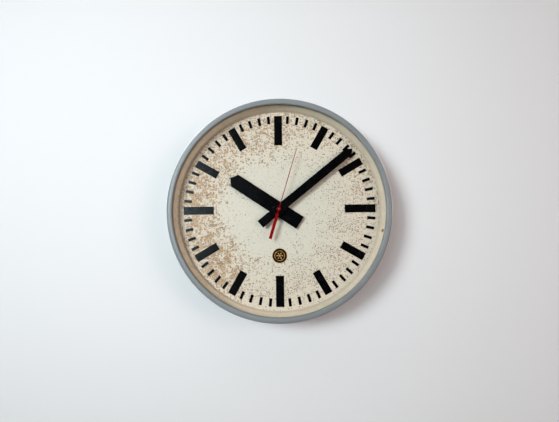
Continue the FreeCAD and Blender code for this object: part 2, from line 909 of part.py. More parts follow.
def make_post_nuts():
    body = new_body("post_nuts")
    corner = "(nut_across / 2 / cos(30))"
    corners = []
    for step in range(6):
        corners.append((f"{corner} * cos({60 * step})", f"{corner} * sin({60 * step})"))
    nut = slab(body, f"{front_plate_back} - nut_height", "nut_height", corners,
               holes=[(zero, zero, "post_thread + running_gap")], spot=(post_ring, zero))
    around(body, [nut], "post_count")


# Hands

def hand_outline(width, length, point, tail):
    """A straight bar with a square tail and an obtuse point, drawn upright."""
    return [
        (f"-{width} / 2", f"-{tail}"),
        (f"{width} / 2", f"-{tail}"),
        (f"{width} / 2", f"{length} - {point}"),
        (zero, length),
        (f"-{width} / 2", f"{length} - {point}"),
    ]


def make_hour_hand():
    body = new_body("hour_hand")
    slab(body, hour_hand_back, "hour_sheet",
         hand_outline("hour_width", "hour_length", "hour_point", "hour_tail"),
         holes=[(zero, zero, "hour_pipe_radius + fixed_gap")], turn_by="-hour_angle")
    collet = new_body("hour_collet")
    turn(collet, ring_corners("hour_pipe_radius + fixed_gap", "collet_radius",
                              f"{hour_hand_back} - collet_height", hour_hand_back))


def make_minute_hand():
    body = new_body("minute_hand")
    slab(body, minute_hand_back, "minute_sheet",
         hand_outline("minute_width", "minute_length", "minute_point", "minute_tail"),
         holes=[(zero, zero, "minute_seat_radius + fixed_gap")], turn_by="-minute_angle")
    boss_back = f"({minute_hand_back} + minute_sheet)"
    boss_front = f"({boss_back} + boss_height)"
    turn(new_body("minute_boss"), [
        ("minute_seat_radius + fixed_gap", boss_back),
        ("boss_radius", boss_back),
        ("boss_radius", boss_front, "boss_edge"),
        ("minute_seat_radius + fixed_gap", boss_front),
    ])


def make_second_hand():
    body = new_body("second_hand")
    root = "second_root_width / 2"
    tip = "second_tip_width / 2"
    tail = "second_tail_width / 2"
    slab(body, second_hand_back, "second_sheet", [
        (f"-{tail}", "-second_tail"),
        (tail, "-second_tail"),
        (tail, "-second_neck"),
        (root, "-second_neck"),
        (tip, "second_length"),
        (f"-{tip}", "second_length"),
        (f"-{root}", "-second_neck"),
        (f"-{tail}", "-second_neck"),
    ], turn_by="-second_angle")
    hub_level = f"({second_hand_back} + second_sheet)"
    tube_end = f"({second_hand_back} - second_tube_length)"
    hub_front = f"({hub_level} + second_hub_height)"
    turn(body, [
        (zero, tube_end),
        ("second_tube_radius", tube_end),
        ("second_tube_radius", hub_level),
        ("second_hub_radius", hub_level),
        ("second_hub_radius", hub_front, "second_hub_height / 2"),
        (zero, hub_front),
    ])
    bore(body, "seconds_arbor_radius + fixed_gap", tube_end, hub_front)


# Movement frame

def make_plates():
    front = new_body("front_plate")
    slab(front, front_plate_back, "plate_sheet", radius="plate_radius", holes=[
        (zero, zero, "tube_radius + fixed_gap"),
        third_spot + ("bush_radius + fixed_gap",),
        setting_spot + ("bush_radius + fixed_gap",),
    ])
    post_hole = bore(front, "post_thread + screw_gap", front_plate_back, front_plate_face,
                     (post_ring, zero))
    pillar_hole = bore(front, "pillar_screw_radius + screw_gap", front_plate_back, front_plate_face,
                       polar(post_ring, pillar_bearing))
    around(front, [post_hole, pillar_hole], "post_count")
    rear = new_body("rear_plate")
    slab(rear, rear_plate_back, "plate_sheet", radius="plate_radius", holes=[
        (zero, zero, "bush_radius + fixed_gap"),
        third_spot + ("bush_radius + fixed_gap",),
        setting_spot + ("bush_radius + fixed_gap",),
        motor_spot + ("capsule_spigot + running_gap",),
    ])
    for spot in motor_screw_spots():
        bore(rear, "motor_screw_radius + running_gap", rear_plate_back, rear_plate_face, spot)
    pillar_hole = bore(rear, "pillar_screw_radius + screw_gap", rear_plate_back, rear_plate_face,
                       polar(post_ring, pillar_bearing))
    around(rear, [pillar_hole], "post_count")


def make_pillars():
    body = new_body("plate_pillars")
    spot = polar(post_ring, pillar_bearing)
    pillar = turn(body, ring_corners("pillar_screw_radius + running_gap", "pillar_radius",
                                     rear_plate_face, front_plate_back), spot)
    around(body, [pillar], "post_count")
    screws = new_body("pillar_screws")
    rear_screw = turn(screws, [
        (zero, f"{rear_plate_back} - pillar_screw_head_height"),
        ("pillar_screw_head", f"{rear_plate_back} - pillar_screw_head_height"),
        ("pillar_screw_head", rear_plate_back),
        ("pillar_screw_radius", rear_plate_back),
        ("pillar_screw_radius", f"{rear_plate_face} + pillar_screw_reach"),
        (zero, f"{rear_plate_face} + pillar_screw_reach"),
    ], spot)
    front_screw = turn(screws, [
        (zero, f"{front_plate_back} - pillar_screw_reach"),
        ("pillar_screw_radius", f"{front_plate_back} - pillar_screw_reach"),
        ("pillar_screw_radius", front_plate_face),
        ("pillar_screw_head", front_plate_face),
        ("pillar_screw_head", f"{front_plate_face} + pillar_screw_head_height"),
        (zero, f"{front_plate_face} + pillar_screw_head_height"),
    ], spot)
    around(screws, [rear_screw, front_screw], "post_count")


def make_centre_tube():
    flange_back = f"({front_plate_back} - tube_flange_height)"
    turn(new_body("centre_tube"), [
        (tube_bore, flange_back),
        ("tube_flange", flange_back),
        ("tube_flange", front_plate_back),
        ("tube_radius", front_plate_back),
        ("tube_radius", f"{minute_pipe_top} - pipe_end_gap"),
        (tube_bore, f"{minute_pipe_top} - pipe_end_gap"),
    ])


def make_arbor_bushes():
    body = new_body("arbor_bushes")
    rear = (f"{rear_plate_back} - bush_proud", f"{rear_plate_face} + bush_proud")
    front = (f"{front_plate_back} - bush_proud", f"{front_plate_face} + bush_proud")
    fits = [
        (centre_spot, "seconds_arbor_radius", rear),
        (third_spot, "third_arbor_radius", rear),
        (third_spot, "third_arbor_radius", front),
        (setting_spot, "setting_arbor_radius", rear),
        (setting_spot, "setting_arbor_radius", front),
    ]
    for spot, arbor, (low, high) in fits:
        turn(body, ring_corners(f"{arbor} + running_gap", "bush_radius", low, high), spot)


# Arbors and pipes

def make_arbors():
    seconds_end = f"({second_hand_back} + second_sheet + second_hub_height + pipe_end_gap)"
    turn(new_body("seconds_arbor"),
         rod_corners("seconds_arbor_radius", f"{rear_plate_back} - arbor_end", seconds_end))
    turn(new_body("third_arbor", third_spot),
         rod_corners("third_arbor_radius", f"{rear_plate_back} - arbor_end",
                     f"{third_pinion_level} + pinion_width"))
    turn(new_body("setting_arbor", setting_spot),
         rod_corners("setting_arbor_radius", "knob_recess + knob_edge", setting_arbor_top))


def make_setting_knob():
    top = "(knob_recess + knob_height)"
    body = new_body("setting_knob", setting_spot)
    turn(body, [
        (zero, "knob_recess"),
        ("knob_radius", "knob_recess", "knob_edge"),
        ("knob_radius", top, "knob_edge"),
        (zero, top),
    ])
    bore(body, "setting_arbor_radius + fixed_gap", "knob_recess + knob_edge", top)


def make_minute_pipe():
    collar_back = f"({front_plate_face} + layer_gap)"
    turn(new_body("minute_pipe"), [
        (minute_bore, collar_back),
        ("pipe_collar_radius", collar_back),
        ("pipe_collar_radius", minute_wheel_level),
        ("minute_pipe_radius", minute_wheel_level),
        ("minute_pipe_radius", minute_hand_back),
        ("minute_seat_radius", minute_hand_back),
        ("minute_seat_radius", minute_pipe_top),
        (minute_bore, minute_pipe_top),
    ])
    turn(new_body("friction_spring"),
         ring_corners("minute_pipe_radius + fixed_gap", "spring_radius", spring_level, cannon_level))


def make_hour_pipe():
    low = f"({hour_wheel_level} - fixed_gap)"
    high = f"({hour_hand_back} + hour_sheet + hour_pipe_end)"
    turn(new_body("hour_pipe"), ring_corners(hour_bore, "hour_pipe_radius", low, high))


# Wheels

def involute(angle):
    return math.tan(angle) - angle


def tooth_wire(module, teeth, phase):
    """The toothed outline of a wheel: arcs through the involute of each flank."""
    pressure = math.radians(value("pressure_angle"))
    pitch = module * teeth / 2
    base = pitch * math.cos(pressure)
    tip = pitch + value("tooth_addendum") * module
    root = pitch - value("tooth_dedendum") * module
    half_at_base = math.pi / (2 * teeth) + involute(pressure)
    foot = max(base, root)

    def half_angle(radius):
        return half_at_base - involute(math.acos(min(1, base / radius)))

    def point(radius, angle):
        return vector(radius * math.cos(angle), radius * math.sin(angle), 0)

    edges = []
    step = 2 * math.pi / teeth
    for tooth in range(teeth):
        centre = phase + tooth * step
        middle = (foot + tip) / 2
        rise = [point(radius, centre - half_angle(radius)) for radius in (foot, middle, tip)]
        fall = [point(radius, centre + half_angle(radius)) for radius in (tip, middle, foot)]
        root_in = point(root, centre - half_angle(foot))
        root_out = point(root, centre + half_angle(foot))
        root_next = point(root, centre + step - half_angle(foot))
        if base > root:
            edges.append(Part.LineSegment(root_in, rise[0]))
        edges.append(Part.Arc(*rise))
        edges.append(Part.Arc(rise[2], point(tip, centre), fall[0]))
        edges.append(Part.Arc(*fall))
        if base > root:
            edges.append(Part.LineSegment(fall[2], root_out))
        edges.append(Part.Arc(root_out, point(root, centre + step / 2), root_next))
    return Part.Wire([edge.toShape() for edge in edges])


def hole_wire(radius, x=0, y=0):
    return Part.Wire([Part.Circle(vector(x, y, 0), vector(0, 0, 1), radius).toShape()])


def wheel(label, module, teeth, phase, spot, level, width, hole, crossed=False):
    """A toothed wheel on its arbor, with round crossings through its web if it is a large one."""
    module = value(module)
    teeth = round(value(teeth))
    wires = [tooth_wire(module, teeth, phase), hole_wire(value(hole))]
    if crossed:
        root = module * (teeth / 2 - value("tooth_dedendum"))
        inner = value("spring_radius")
        ring = (root + inner) / 2
        count = round(value("crossing_count"))
        for spoke in range(count):
            angle = 2 * math.pi * spoke / count
            wires.append(hole_wire((root - inner) / 3, ring * math.cos(angle), ring * math.sin(angle)))
    face = Part.makeFace(wires, "Part::FaceMakerBullseye")
    face.translate(vector(0, 0, value(level)))
    piece = doc.addObject("Part::Feature", label)
    piece.Shape = face.extrude(vector(0, 0, value(width)))
    piece.Placement = FreeCAD.Placement(vector(value(spot[0]), 0, value(spot[1])), upright)
    keep(piece, label)


def meshed(phase, teeth, partner_teeth, bearing):
    """The partner's phase that puts its gap where the first wheel has its tooth."""
    teeth = round(value(teeth))
    partner_teeth = round(value(partner_teeth))
    bearing = math.radians(value(bearing))
    travel = 0.5 - (bearing - phase) * teeth / (2 * math.pi)
    return bearing + math.pi - 2 * math.pi / partner_teeth * travel


def make_wheels():
    centre = centre_spot
    arbor_fit = "seconds_arbor_radius + fixed_gap"
    third_fit = "third_arbor_radius + fixed_gap"
    setting_fit = "setting_arbor_radius + fixed_gap"
    pipe_fit = "minute_pipe_radius + fixed_gap"
    wheel("seconds_wheel", "motor_module", "seconds_wheel_teeth", 0, centre,
          seconds_wheel_level, "wheel_sheet", arbor_fit)
    wheel("seconds_pinion", "third_module", "seconds_pinion_teeth", 0, centre,
          seconds_pinion_level, "pinion_width", arbor_fit)
    wheel("motor_pinion", "motor_module", "motor_teeth",
          meshed(0, "seconds_wheel_teeth", "motor_teeth", "motor_bearing"), motor_spot,
          motor_pinion_level, "pinion_width", "capsule_shaft_radius + fixed_gap")
    wheel("third_wheel", "third_module", "third_wheel_teeth",
          meshed(0, "seconds_pinion_teeth", "third_wheel_teeth", "third_bearing"), third_spot,
          third_wheel_level, "wheel_sheet", third_fit, crossed=True)
    wheel("third_pinion", minute_module, "third_pinion_teeth", 0, third_spot,
          third_pinion_level, "pinion_width", third_fit)
    wheel("minute_wheel", minute_module, "minute_wheel_teeth",
          meshed(0, "third_pinion_teeth", "minute_wheel_teeth", "third_bearing + 180"), centre,
          minute_wheel_level, "wheel_sheet", pipe_fit, crossed=True)
    wheel("cannon_pinion", "motion_module", "cannon_teeth", 0, centre,
          cannon_level, "pinion_width", pipe_fit)
    wheel("motion_wheel", "motion_module", "motion_wheel_teeth",
          meshed(0, "cannon_teeth", "motion_wheel_teeth", "motion_bearing"), setting_spot,
          motion_wheel_level, "wheel_sheet", setting_fit, crossed=True)
    wheel("motion_pinion", hour_module, "motion_pinion_teeth", 0, setting_spot,
          motion_pinion_level, "pinion_width", setting_fit)
    wheel("hour_wheel", hour_module, "hour_wheel_teeth",
          meshed(0, "motion_pinion_teeth", "hour_wheel_teeth", "motion_bearing + 180"), centre,
          hour_wheel_level, "wheel_sheet", "hour_pipe_radius + fixed_gap", crossed=True)


# Motor

core_bore = "(capsule_radius + core_gap)"
window_right = f"({motor_spot[0]} - {core_bore} - core_bridge)"
window_left = f"({window_right} - core_window)"
core_left = f"({window_left} - core_leg)"
core_right = f"({motor_spot[0]} + {core_bore} + core_margin)"
window_half = "(core_height / 2 - core_arm)"


def motor_screw_spots():
    across = f"({window_right} + core_bridge / 2)"
    return [(across, f"({motor_spot[1]} {side} motor_screw_spread)") for side in ("-", "+")]


def make_stator_core():
    body = new_body("stator_core")
    middle = motor_spot[1]
    slab(body, core_back, "core_stack", [
        (core_left, f"{middle} - core_height / 2"),
        (core_right, f"{middle} - core_height / 2"),
        (core_right, f"{middle} + core_height / 2"),
        (core_left, f"{middle} + core_height / 2"),
    ])
    pocket(body, core_front, "core_stack", [
        (window_left, f"{middle} - {window_half}"),
        (window_right, f"{middle} - {window_half}"),
        (window_right, f"{middle} + {window_half}"),
        (window_left, f"{middle} + {window_half}"),
    ])
    bore(body, core_bore, core_back, core_front, motor_spot)
    for spot in motor_screw_spots():
        bore(body, "motor_screw_radius + screw_gap", core_back, core_front, spot)


def make_rotor_capsule():
    back = "(cover_sheet + motor_clearance)"
    body = new_body("rotor_capsule", motor_spot)
    turn(body, [
        (zero, back),
        ("capsule_radius", back, "capsule_edge"),
        ("capsule_radius", rear_plate_back),
        ("capsule_spigot", rear_plate_back),
        ("capsule_spigot", rear_plate_face),
        (zero, rear_plate_face),
    ])
    bore(body, "capsule_shaft_radius + running_gap", f"{rear_plate_face} - capsule_shaft_depth",
         rear_plate_face)
    turn(new_body("motor_shaft", motor_spot),
         rod_corners("capsule_shaft_radius", f"{rear_plate_face} - capsule_shaft_depth + running_gap",
                     f"{motor_pinion_level} + pinion_width"))


def make_motor_fixings():
    spacers = new_body("motor_spacers")
    screws = new_body("motor_screws")
    for spot in motor_screw_spots():
        turn(spacers, ring_corners("motor_screw_radius + screw_gap", "spacer_radius", core_front,
                                   rear_plate_back), spot)
        turn(screws, [
            (zero, f"{core_back} - motor_screw_head_height"),
            ("motor_screw_head", f"{core_back} - motor_screw_head_height"),
            ("motor_screw_head", core_back),
            ("motor_screw_radius", core_back),
            ("motor_screw_radius", rear_plate_face),
            (zero, rear_plate_face),
        ], spot)


def sleeve(name, grow, half_length, outer_grow):
    """A rectangular sleeve round the core's leg: the leg grown by one amount inside another."""
    inner = leg_box(f"{name}_hole", grow, f"2 * {half_length}")
    outer = leg_box(f"{name}_block", outer_grow, half_length)
    return cut_out(name, outer, inner)


def leg_box(name, grow, half_length):
    middle = motor_spot[1]
    return block(name, (f"{core_left} - ({grow})", f"{window_left} + ({grow})"),
                 (f"{middle} - {half_length}", f"{middle} + {half_length}"),
                 (f"{core_back} - ({grow})", f"{core_front} + ({grow})"))


def make_coil():
    tube_outside = "bobbin_gap + bobbin_wall"
    flange_outside = f"{tube_outside} + winding_build + flange_rim"
    half_length = f"({window_half} - bobbin_gap)"
    wound_half = f"({half_length} - bobbin_flange)"
    tube = sleeve("bobbin_tube", "bobbin_gap", half_length, tube_outside)
    whole = sleeve("bobbin_cheeks_block", tube_outside, half_length, flange_outside)
    space = leg_box("bobbin_space", f"2 * ({flange_outside})", wound_half)
    cheeks = cut_out("bobbin_cheeks", whole, space)
    bobbin = doc.addObject("Part::Fuse", "coil_bobbin")
    bobbin.Base = tube
    bobbin.Tool = cheeks
    bobbin.Refine = True
    keep(bobbin, "coil_bobbin")
    keep(sleeve("coil_winding", tube_outside, wound_half, f"{tube_outside} + winding_build"),
         "coil_winding")


# Mains terminals

def clamp_spots():
    count = round(value("clamp_count"))
    spots = []
    for step in range(count):
        spots.append((f"(terminal_x + clamp_pitch * ({step} - (clamp_count - 1) / 2))", "terminal_y"))
    return spots


def make_terminal_block():
    top = "(cover_sheet + terminal_height)"
    body = new_body("terminal_block")
    slab(body, cover_top, "terminal_height",
         rectangle("terminal_length", "terminal_width", "terminal_corner"),
         spot=("terminal_x", "terminal_y"))
    for spot in clamp_spots():
        bore(body, "clamp_radius + running_gap", f"{top} - clamp_depth", top, spot)
    for spot in terminal_screw_spots():
        bore(body, "terminal_screw_radius + running_gap", cover_top, top, spot)
    clamps = new_body("terminal_clamps")
    for spot in clamp_spots():
        turn(clamps, rod_corners("clamp_radius", f"{top} - clamp_depth", f"{top} + clamp_proud"), spot)
    screws = new_body("terminal_screws")
    for spot in terminal_screw_spots():
        turn(screws, [
            (zero, zero),
            ("terminal_screw_radius", zero),
            ("terminal_screw_radius", top),
            ("terminal_screw_head", top),
            ("terminal_screw_head", f"{top} + terminal_screw_head_height"),
            (zero, f"{top} + terminal_screw_head_height"),
        ], spot)


def rounded_path(points):
    """Straight runs joined by tangent arcs as large as the shorter run allows."""
    edges = []
    start = points[0]
    for before, corner, after in zip(points, points[1:], points[2:]):
        inward = (before - corner).normalize()
        outward = (after - corner).normalize()
        reach = 0.45 * min(before.distanceToPoint(corner), after.distanceToPoint(corner))
        half = inward.getAngle(outward) / 2
        radius = reach * math.tan(half)
        centre = corner + (inward + outward).normalize() * (radius / math.sin(half))
        enter = corner + inward * reach
        leave = corner + outward * reach
        middle = centre + (corner - centre).normalize() * radius
        edges.append(Part.LineSegment(start, enter).toShape())
        edges.append(Part.Arc(enter, middle, leave).toShape())
        start = leave
    edges.append(Part.LineSegment(start, points[-1]).toShape())
    return Part.Wire(edges)


def make_motor_leads():
    """Two insulated leads from the terminal block's edge up to the bobbin's lower cheek."""
    radius = value("lead_radius")
    low = value("terminal_y + terminal_width / 2")
    high = value(f"{motor_spot[1]} - {window_half} + bobbin_gap")
    middle_x = value(f"({core_left} + {window_left}) / 2")
    level = value("cover_sheet + terminal_height / 2")
    coil_level = value(f"({core_back} + {core_front}) / 2 - core_stack / 2 - bobbin_gap - bobbin_wall"
                       " - winding_build / 2")
    rise = high - low
    solids = []
    for side in (-1, 1):
        spread = side * value("lead_spread")
        sway = side * value("lead_sway")
        route = [
            vector(middle_x + spread, low, level),
            vector(middle_x + spread, low + 0.25 * rise, level),
            vector(middle_x + spread + sway, low + 0.5 * rise, (level + coil_level) / 2),
            vector(middle_x + spread, low + 0.75 * rise, coil_level),
            vector(middle_x + spread, high, coil_level),
        ]
        path = rounded_path(route)
        section = Part.Wire([Part.Circle(route[0], vector(0, 1, 0), radius).toShape()])
        solids.append(path.makePipeShell([section], True, True))
        print("lead length", round(path.Length, 1), "volume share",
              round(solids[-1].Volume / (math.pi * radius**2 * path.Length), 4))
    leads = doc.addObject("Part::Feature", "motor_leads")
    leads.Shape = Part.makeCompound(solids)
    leads.Placement = FreeCAD.Placement(vector(0, 0, 0), upright)
    keep(leads, "motor_leads")


def check_model():
    for thing in doc.Objects:
        if "Invalid" in thing.State or "Error" in thing.State:
            raise RuntimeError(f"{thing.Label} failed: {thing.State}")
    for piece in pieces:
        if piece.Shape.isNull() or not piece.Shape.isValid() or not piece.Shape.Solids:
            raise RuntimeError(f"{piece.Label} has no valid solid")


def write_parts():
    os.makedirs("parts", exist_ok=True)
    for piece in pieces:
        piece.Shape.exportStep(os.path.join("parts", piece.Label + ".step"))
        print(piece.Label, len(piece.Shape.Solids), "solid(s)", round(piece.Shape.Volume, 1), "mm3")
    print(len(pieces), "pieces")


def main():
    fill_sheet()
    make_case_drum()
    make_front_bezel()
    make_bezel_screws()
    make_bezel_lugs()
    make_glass()
    make_glass_gasket()
    make_rear_cover()
    make_cover_screws()
    make_cover_nuts()
    make_hanger_plate()
    make_hanger_rivets()
    make_cable_bush()
    make_dial_surround()
    make_dial_plate()
    make_dial_brackets()
    make_dial_screws()
    make_hour_marks()
    make_minute_marks()
    make_dial_emblem()
    make_dial_posts()
    make_post_nuts()
    make_hour_hand()
    make_minute_hand()
    make_second_hand()
    make_plates()
    make_pillars()
    make_centre_tube()
    make_arbor_bushes()
    make_arbors()
    make_setting_knob()
    make_minute_pipe()
    make_hour_pipe()
    make_wheels()
    make_stator_core()
    make_rotor_capsule()
    make_motor_fixings()
    make_coil()
    make_terminal_block()
    make_motor_leads()
    doc.recompute()
    check_model()
    write_parts()


main()
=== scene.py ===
import json
import math
import bpy
from mathutils import Matrix, Vector


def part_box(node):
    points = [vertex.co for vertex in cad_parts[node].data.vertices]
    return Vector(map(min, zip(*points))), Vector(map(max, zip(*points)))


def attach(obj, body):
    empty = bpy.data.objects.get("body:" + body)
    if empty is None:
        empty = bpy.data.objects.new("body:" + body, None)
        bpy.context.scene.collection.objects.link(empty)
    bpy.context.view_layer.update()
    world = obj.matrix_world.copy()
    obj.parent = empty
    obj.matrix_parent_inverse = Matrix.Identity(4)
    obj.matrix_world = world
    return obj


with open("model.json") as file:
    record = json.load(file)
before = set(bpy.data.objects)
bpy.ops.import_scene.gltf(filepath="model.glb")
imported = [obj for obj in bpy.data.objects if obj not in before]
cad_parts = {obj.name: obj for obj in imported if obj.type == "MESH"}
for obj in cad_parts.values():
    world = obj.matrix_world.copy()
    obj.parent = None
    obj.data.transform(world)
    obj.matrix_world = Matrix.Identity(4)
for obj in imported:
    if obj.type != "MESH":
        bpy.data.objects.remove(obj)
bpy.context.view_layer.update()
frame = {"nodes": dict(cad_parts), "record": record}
nodes = frame["nodes"]
millimetre = 0.001
print("frame loaded:", len(nodes), "pieces")


# Small helpers for node trees

def feed(tree, socket, source):
    if isinstance(source, bpy.types.NodeSocket):
        tree.links.new(source, socket)
    elif source is not None:
        socket.default_value = source


def addNode(tree, kind, sources=None, **settings):
    node = tree.nodes.new(kind)
    for name, setting in settings.items():
        setattr(node, name, setting)
    for label, source in (sources or {}).items():
        feed(tree, node.inputs[label], source)
    return node


def maths(tree, operation, first, second=None, clamp=False):
    node = addNode(tree, "ShaderNodeMath", {0: first, 1: second}, operation=operation, use_clamp=clamp)
    return node.outputs[0]


def vectorMaths(tree, operation, first, second=None):
    node = addNode(tree, "ShaderNodeVectorMath", {0: first, 1: second}, operation=operation)
    return node.outputs["Value" if operation in ("LENGTH", "DISTANCE") else "Vector"]


def scaled(tree, value, gain, start):
    return maths(tree, "ADD", start, maths(tree, "MULTIPLY", value, gain))


def rest(tree, share):
    return maths(tree, "SUBTRACT", 1.0, share)


def between(tree, value, low, high, top=1.0):
    # 0 at low, top at high, with soft ends and level beyond them; high may be the smaller one
    node = addNode(tree, "ShaderNodeMapRange", {
        "Value": value, "From Min": low, "From Max": high, "To Max": top}, interpolation_type="SMOOTHSTEP")
    return node.outputs["Result"]


def blendColour(tree, share, first, second):
    node = addNode(tree, "ShaderNodeMix", {"Factor": share, "A": first, "B": second}, data_type="RGBA")
    return node.outputs["Result"]


def layer(tree, under, mask, share, colour):
    # a colour over another one where the mask is, by a share at most
    return blendColour(tree, maths(tree, "MULTIPLY", mask, share), under, colour)


def noise(tree, spot, scale, detail=3.0, roughness=0.55, distortion=0.0):
    # scale counts features per unit of spot: per millimetre on the clock, per metre on the stage
    node = addNode(tree, "ShaderNodeTexNoise", {
        "Vector": spot, "Scale": scale, "Detail": detail, "Roughness": roughness, "Distortion": distortion})
    return node.outputs["Fac"]


def sRgb(red, green, blue):
    # 0-255 screen colour to the linear one that the shaders use
    def linear(level):
        level = level / 255
        return level / 12.92 if level <= 0.04045 else ((level + 0.055) / 1.055) ** 2.4
    return (linear(red), linear(green), linear(blue), 1.0)


def newGroup(name, inputs, outputs):
    group = bpy.data.node_groups.new(name, "ShaderNodeTree")
    for label, kind, start in inputs:
        socket = group.interface.new_socket(label, in_out="INPUT", socket_type=kind)
        if start is not None:
            socket.default_value = start
    for label, kind in outputs:
        group.interface.new_socket(label, in_out="OUTPUT", socket_type=kind)
    return group, group.nodes.new("NodeGroupInput").outputs, group.nodes.new("NodeGroupOutput").inputs


def useGroup(tree, group, values=None):
    return addNode(tree, "ShaderNodeGroup", values, node_tree=group).outputs


# Shared effects. Settings of a noise are its scale, detail, roughness and distortion, in that order.
# A range is where an effect starts, where it is full, and how strong it is there if not 1.

surfaceOutputs = [("Colour", "NodeSocketColor"), ("Roughness", "NodeSocketFloat"),
                  ("Height", "NodeSocketFloat")]
acrossFront = (1.0, 0.0, 1.0)  # leaves the depth out


def makeSpotGroup():
    # the place on the clock in millimetres, and how far out, left and up it lies
    group, _, given = newGroup("clockSpot", [], [
        ("Spot", "NodeSocketVector"), ("Radius", "NodeSocketFloat"),
        ("Left", "NodeSocketFloat"), ("Up", "NodeSocketFloat")])
    place = addNode(group, "ShaderNodeTexCoord").outputs["Object"]
    spot = vectorMaths(group, "MULTIPLY", place, (1 / millimetre,) * 3)
    flat = vectorMaths(group, "MULTIPLY", spot, acrossFront)
    direction = vectorMaths(group, "NORMALIZE", flat)
    parts = addNode(group, "ShaderNodeSeparateXYZ", {"Vector": direction}).outputs
    feed(group, given["Spot"], spot)
    feed(group, given["Radius"], vectorMaths(group, "LENGTH", flat))
    feed(group, given["Left"], maths(group, "MULTIPLY", parts["X"], -1.0))
    feed(group, given["Up"], parts["Z"])
    return group


speckleShape = {"smallest": 0.35, "softness": 0.12}


def makeSpeckleGroup():
    # round spots, one in each cell at most: Density says how many cells have one
    group, taken, given = newGroup("speckles", [
        ("Spot", "NodeSocketVector", None), ("Cell", "NodeSocketFloat", 4.0),
        ("Size", "NodeSocketFloat", 0.4), ("Density", "NodeSocketFloat", 0.5)],
        [("Mask", "NodeSocketFloat")])
    cells = addNode(group, "ShaderNodeTexVoronoi", {
        "Vector": taken["Spot"], "Scale": maths(group, "DIVIDE", 1.0, taken["Cell"])},
        voronoi_dimensions="3D").outputs
    chance = addNode(group, "ShaderNodeSeparateColor", {"Color": cells["Color"]}).outputs
    share = maths(group, "ADD", speckleShape["smallest"], chance["Green"])
    reach = maths(group, "MULTIPLY", taken["Size"], share)
    depth = maths(group, "SUBTRACT", reach, cells["Distance"])
    inside = between(group, depth, 0.0, speckleShape["softness"])
    chosen = maths(group, "LESS_THAN", chance["Red"], taken["Density"])
    feed(group, given["Mask"], maths(group, "MULTIPLY", inside, chosen))
    return group


stainShape = {"whole": (-0.1, 0.4), "heart": (0.5, 1.3)}  # millimetres inwards from the outline


def makeStainGroup():
    # round stains on the dial as seen from the front, sizes in millimetres; Edge is their darker outline
    group, taken, given = newGroup("roundStains", [
        ("Spot", "NodeSocketVector", None), ("Cell", "NodeSocketFloat", 4.0),
        ("Smallest", "NodeSocketFloat", 0.5), ("Largest", "NodeSocketFloat", 1.2),
        ("Density", "NodeSocketFloat", 0.5)],
        [("Mask", "NodeSocketFloat"), ("Edge", "NodeSocketFloat")])
    parts = addNode(group, "ShaderNodeSeparateXYZ", {"Vector": taken["Spot"]}).outputs
    flat = addNode(group, "ShaderNodeCombineXYZ", {"X": parts["X"], "Y": parts["Z"]}).outputs[0]
    cells = addNode(group, "ShaderNodeTexVoronoi", {
        "Vector": flat, "Scale": maths(group, "DIVIDE", 1.0, taken["Cell"])},
        voronoi_dimensions="2D").outputs
    chance = addNode(group, "ShaderNodeSeparateColor", {"Color": cells["Color"]}).outputs
    spare = maths(group, "SUBTRACT", taken["Largest"], taken["Smallest"])
    reach = scaled(group, spare, chance["Green"], taken["Smallest"])
    away = maths(group, "MULTIPLY", cells["Distance"], taken["Cell"])
    depth = maths(group, "SUBTRACT", reach, away)
    chosen = maths(group, "LESS_THAN", chance["Red"], taken["Density"])
    mask = maths(group, "MULTIPLY", between(group, depth, *stainShape["whole"]), chosen)
    heart = maths(group, "MULTIPLY", between(group, depth, *stainShape["heart"]), chosen)
    feed(group, given["Mask"], mask)
    feed(group, given["Edge"], maths(group, "SUBTRACT", mask, heart, clamp=True))
    return group


paintShape = {
    "slowNoise": (0.018, 4.0, 0.6),
    "patchNoise": (0.06, 5.0, 0.65, 0.6),
    "patchRange": (0.48, 0.72),
    "darkest": 0.88,
    "toneChange": 0.24,
    "slowRoughness": 0.12,
    "dustRoughness": 0.2,
    "peelDetail": 2.0,
    "peelRoughness": 0.5,
}


def makePaintGroup():
    # sprayed paint on sheet: slow changes of tone, dust in patches, fine orange peel
    group, taken, given = newGroup("sprayedPaint", [
        ("Spot", "NodeSocketVector", None), ("Colour", "NodeSocketColor", (0.5, 0.5, 0.5, 1)),
        ("Dust Colour", "NodeSocketColor", (0.5, 0.5, 0.5, 1)), ("Dust", "NodeSocketFloat", 0.3),
        ("Gloss Low", "NodeSocketFloat", 0.4), ("Peel", "NodeSocketFloat", 0.9)], surfaceOutputs)
    slow = noise(group, taken["Spot"], *paintShape["slowNoise"])
    patchNoise = noise(group, taken["Spot"], *paintShape["patchNoise"])
    patches = between(group, patchNoise, *paintShape["patchRange"])
    dusted = maths(group, "MULTIPLY", patches, taken["Dust"])
    tone = scaled(group, slow, paintShape["toneChange"], paintShape["darkest"])
    toned = addNode(group, "ShaderNodeHueSaturation", {"Color": taken["Colour"], "Value": tone})
    feed(group, given["Colour"], blendColour(group, dusted, toned.outputs["Color"], taken["Dust Colour"]))
    rough = scaled(group, slow, paintShape["slowRoughness"], taken["Gloss Low"])
    feed(group, given["Roughness"], scaled(group, dusted, paintShape["dustRoughness"], rough))
    feed(group, given["Height"], noise(group, taken["Spot"], taken["Peel"], paintShape["peelDetail"],
                                       paintShape["peelRoughness"]))
    return group


metalShape = {
    "stretch": (6.0, 1.2, 0.25),
    "lineNoise": (1.0, 3.0, 0.6),
    "filmNoise": (0.12, 5.0, 0.6, 0.8),
    "filmRange": (0.42, 0.75),
    "lineRoughness": 0.14,
    "filmRoughness": 0.25,
}


